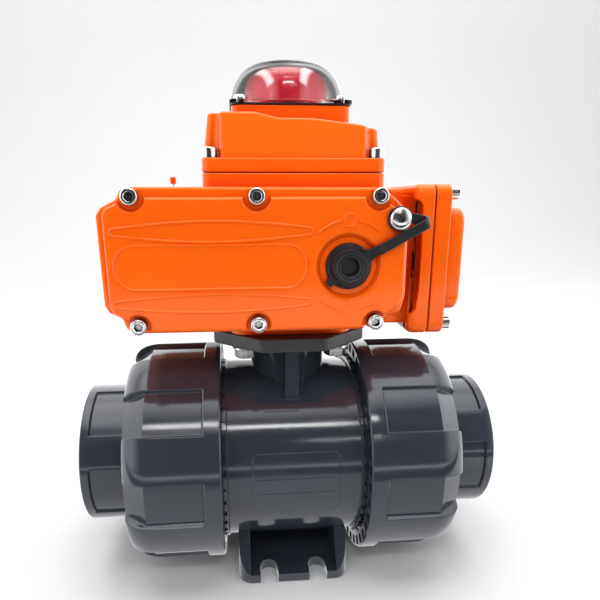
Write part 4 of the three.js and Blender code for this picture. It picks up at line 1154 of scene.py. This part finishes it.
def override_strap():
    """The strap that keeps the plug: it runs to a fold, turns behind itself and ends in an eye."""
    fold = Vector((68.8, 233.4))
    centre = Vector((plug_x, plug_z))
    eye = Vector(centre_of("strap_screw")[::2])
    start = centre + (Vector((38.6, 217.0)) - centre).normalized() * 10.2
    along = (fold - start).normalized()
    across = Vector((-along.y, along.x))
    loop = 1.5
    front_y = -69.4
    back = (eye - fold).normalized()
    fold_angle = (math.atan2(along.y, along.x) + math.atan2(back.y, back.x)) / 2
    crease = Vector((math.cos(fold_angle), math.sin(fold_angle)))
    outward = Vector((crease.y, -crease.x))
    if outward.dot(along) < 0:
        outward = -outward
    first_run = (fold - start).length
    last_run = (eye - fold).length + math.pi * loop / max(outward.dot(along), 0.2) - 4.2
    total = first_run + last_run

    def lifted(point, depth, run):
        """A point of the flat strap, and its depth from the front face, in its folded place."""
        local = Vector(point) - fold
        beside, ahead = local.dot(crease), local.dot(outward)
        near_plug = max(0.0, 1 - run / 12)
        base_y = front_y + 3.4 * near_plug ** 2 * (3 - 2 * near_plug)
        if ahead < 0:
            out, y = ahead, base_y + depth
        elif ahead < math.pi * loop:
            turn = ahead / loop
            out = (loop - depth) * math.sin(turn)
            y = base_y + loop - (loop - depth) * math.cos(turn)
        else:
            out, y = -(ahead - math.pi * loop), base_y + 2 * loop - depth
        place = fold + crease * beside + outward * out
        return (place.x, y, place.y)

    half_wide, half_thick = 2.65, 0.85
    rings = []
    count = 90
    section = filleted([(-half_wide, -half_thick), (half_wide, -half_thick), (half_wide, half_thick),
                        (-half_wide, half_thick)], 0.45, 3)
    for i in range(count + 1):
        run = total * i / count
        swell = 1 + 0.9 * max(0.0, 1 - run / 6) ** 2
        ring = []
        for wide, depth in section:
            flat = start + along * run + across * wide * swell
            ring.append(lifted(tuple(flat), depth, run))
        rings.append(ring)
    strap = loft(rings)
    ring = turned([(2.3, -67.2), (6.3, -67.2), (6.6, -67.5), (6.6, -68.3), (6.3, -68.6), (2.3, -68.6)], "y",
                  (eye.x, 0, eye.y), 48, closed=True)
    join(strap, ring)
    finished(strap, "override_strap_shape", None, "seal_rubber")
    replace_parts(strap, "override_strap")
    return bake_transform(strap)


def cable_entries():
    """The hexagonal blanking plugs on the back."""
    for number in (1, 2):
        node = f"cable_entry_plug_{number}"
        x, _, z = centre_of(node)
        at = (x, 0, z)
        head = prism([(x + u, z + v) for u, v in arc((0, 0), 12, 0, 300, 5)], 61.5, 66, "y")
        cone = turned([(0, 50), (14, 50), (14, 64.6), (10.6, 66.01), (0, 66.01)], "y", at, 64)
        head = softened(common(head, cone), 0.35, 2)
        whole = join(head, bar(10.8, 60.25, 61.8, "y", at, 48), bar(9.4, 55.5, 61, "y", at, 48))
        stand_for(node, cut(whole, bar(4.6, 64.8, 67, "y", at, 32)))


# ---------------------------------------------------------------- building the object

valve_body()
union_nut("left", -1, 7.5)
union_nut("right", 1, 5.2)
end_connector("left", -1, 22.4)
end_connector("right", 1, 32.9)
valve_inside()
for label_part, raised in label().items():
    finished(raised, label_part, "frame", "valve_plastic")
mounting_plate()
housing()
front_cover()
top_cover()
indicator()
terminal_cover()
gaskets()
override_plug()
override_strap()
cable_entries()
fasteners()

for node_name, node in frame["nodes"].items():
    if not node.hide_render:
        node.data.materials.clear()
        node.data.materials.append(looks[slot_of[node_name]].material)


# ---------------------------------------------------------------- stage, light and camera


def backdrop():
    """A pale floor that curves up into a wall behind the object."""
    bend_start, bend_radius = 1.1, 0.9
    profile = [(-3.0, 0.0)]
    profile += [(bend_start + bend_radius * math.sin(a), bend_radius * (1 - math.cos(a)))
                for a in quarter(12)]
    profile.append((bend_start + bend_radius, 4.0))
    bm = bmesh.new()
    rows = [[bm.verts.new((x, y, z)) for x in (-4, 4)] for y, z in profile]
    for low, high in zip(rows, rows[1:]):
        bm.faces.new((low[0], low[1], high[1], high[0]))
    mesh = bpy.data.meshes.new("backdrop")
    bm.to_mesh(mesh)
    bm.free()
    mesh.shade_smooth()
    mesh.materials.append(backdrop_look().material)
    obj = bpy.data.objects.new("backdrop", mesh)
    bpy.context.scene.collection.objects.link(obj)


def backdrop_look():
    """Pale paper. In reflections it is bright beside the object and falls off in front of it."""
    look = plain_look("backdrop", (0.66, 0.66, 0.662), 0.6, vary=0.01, patch=2, grain=200, depth=1e-5)
    look.shader.inputs["Specular IOR Level"].default_value = 0.1
    axes = look.add("SeparateXYZ", {"Vector": look.place})
    ahead = axes.outputs["Y"]
    beside = look.math(axes.outputs["X"], 0.0, "ABSOLUTE")
    sides = look.ramp(beside, 0.0, 1.6, 0.15, 0.4)
    near = look.ramp(ahead, 0.0, 1.0, -0.34, -0.29)
    far = look.ramp(ahead, 1.0, 0.0, -0.8, -0.7)
    end = look.ramp(ahead, 0.0, 1.0, -1.3, -1.15)
    strip = look.times(look.times(far, end), 3.0)
    strength = look.math(look.times(look.math(sides, 1.0), near), strip)
    look.switch("Is Glossy Ray", look.add("Emission", {"Color": (0.97, 0.98, 1, 1), "Strength": strength}))
    return look


def area_light(name, place, target, size, power, mirrored=False):
    """A rectangular light. One that isn't mirrored doesn't show in reflections."""
    light = bpy.data.lights.new(name, "AREA")
    light.shape = "RECTANGLE"
    light.size, light.size_y = size
    light.energy = power
    obj = bpy.data.objects.new(name, light)
    obj.location = place
    obj.rotation_euler = (Vector(target) - Vector(place)).to_track_quat("-Z", "Y").to_euler()
    obj.visible_glossy = mirrored
    bpy.context.scene.collection.objects.link(obj)


def studio_world():
    """Soft light from all round. In reflections the front is dark, and the sides and the top are bright."""
    front_glow, side_glow, top_glow, back_glow, soft_glow = 0.05, 2.2, 3.2, 0.9, 0.62
    world = bpy.data.worlds.new("studio")
    world.use_nodes = True
    nodes = Nodes(world.node_tree)
    heading = nodes.add("SeparateXYZ", {"Vector": nodes.add("TexCoord").outputs["Generated"]})
    beside = nodes.math(heading.outputs["X"], 0.0, "ABSOLUTE")
    sides = nodes.ramp(beside, 0.0, side_glow, 0.45, 0.75)
    top = nodes.ramp(heading.outputs["Z"], 0.0, top_glow, 0.78, 0.93)
    back = nodes.ramp(heading.outputs["Y"], 0.0, back_glow, 0.0, 0.5)
    mirrored = nodes.math(nodes.math(nodes.math(sides, top), back), front_glow)
    glossy = nodes.path("Is Glossy Ray")
    others = nodes.math(1.0, glossy, "SUBTRACT")
    strength = nodes.math(nodes.times(glossy, mirrored), nodes.times(others, soft_glow))
    nodes.feed(world.node_tree.nodes["Background"], {0: (0.97, 0.98, 1.0, 1), 1: strength})
    bpy.context.scene.world = world


def camera():
    """The camera stands in front, a little above the actuator, and looks slightly down."""
    yaw, pitch, roll = (math.radians(a) for a in (4.95, 15.17, -0.18))
    ahead = Vector((math.sin(yaw) * math.cos(pitch), math.cos(yaw) * math.cos(pitch), -math.sin(pitch)))
    right = Vector((math.cos(yaw), -math.sin(yaw), 0))
    up = right.cross(ahead)
    right, up = (right * math.cos(roll) + up * math.sin(roll), up * math.cos(roll) - right * math.sin(roll))
    data = bpy.data.cameras.new("camera")
    data.sensor_width = 36.0
    data.lens = 32.04
    data.shift_x, data.shift_y = 0.0282, 0.0725
    data.clip_start = 0.01
    obj = bpy.data.objects.new("camera", data)
    turn = Matrix((right, up, -ahead)).transposed().to_4x4()
    obj.matrix_world = Matrix.Translation((-0.0329, -0.353, 0.2467)) @ turn
    bpy.context.scene.collection.objects.link(obj)
    bpy.context.scene.camera = obj


backdrop()
studio_world()
area_light("overhead", (0.0, 0.02, 1.25), (0, 0, 0.15), (1.3, 0.9), 16)
area_light("front_left", (-0.9, -1.0, 0.75), (0, 0, 0.16), (0.7, 0.7), 2.8)
area_light("front_right", (0.95, -0.9, 0.7), (0, 0, 0.16), (0.6, 0.8), 2.4)
area_light("backdrop_light", (0.0, 0.75, 1.7), (0, 1.9, 0.75), (4.2, 0.8), 30)
area_light("strip", (-0.01, -0.88, 0.97), (0.02, -0.05, 0.11), (0.62, 0.09), 3.0, mirrored=True)
area_light("small_strip", (0.25, -1.13, 0.63), (0.02, -0.05, 0.1), (0.18, 0.03), 0.22, mirrored=True)
bpy.context.scene.view_settings.view_transform = "Standard"
camera()
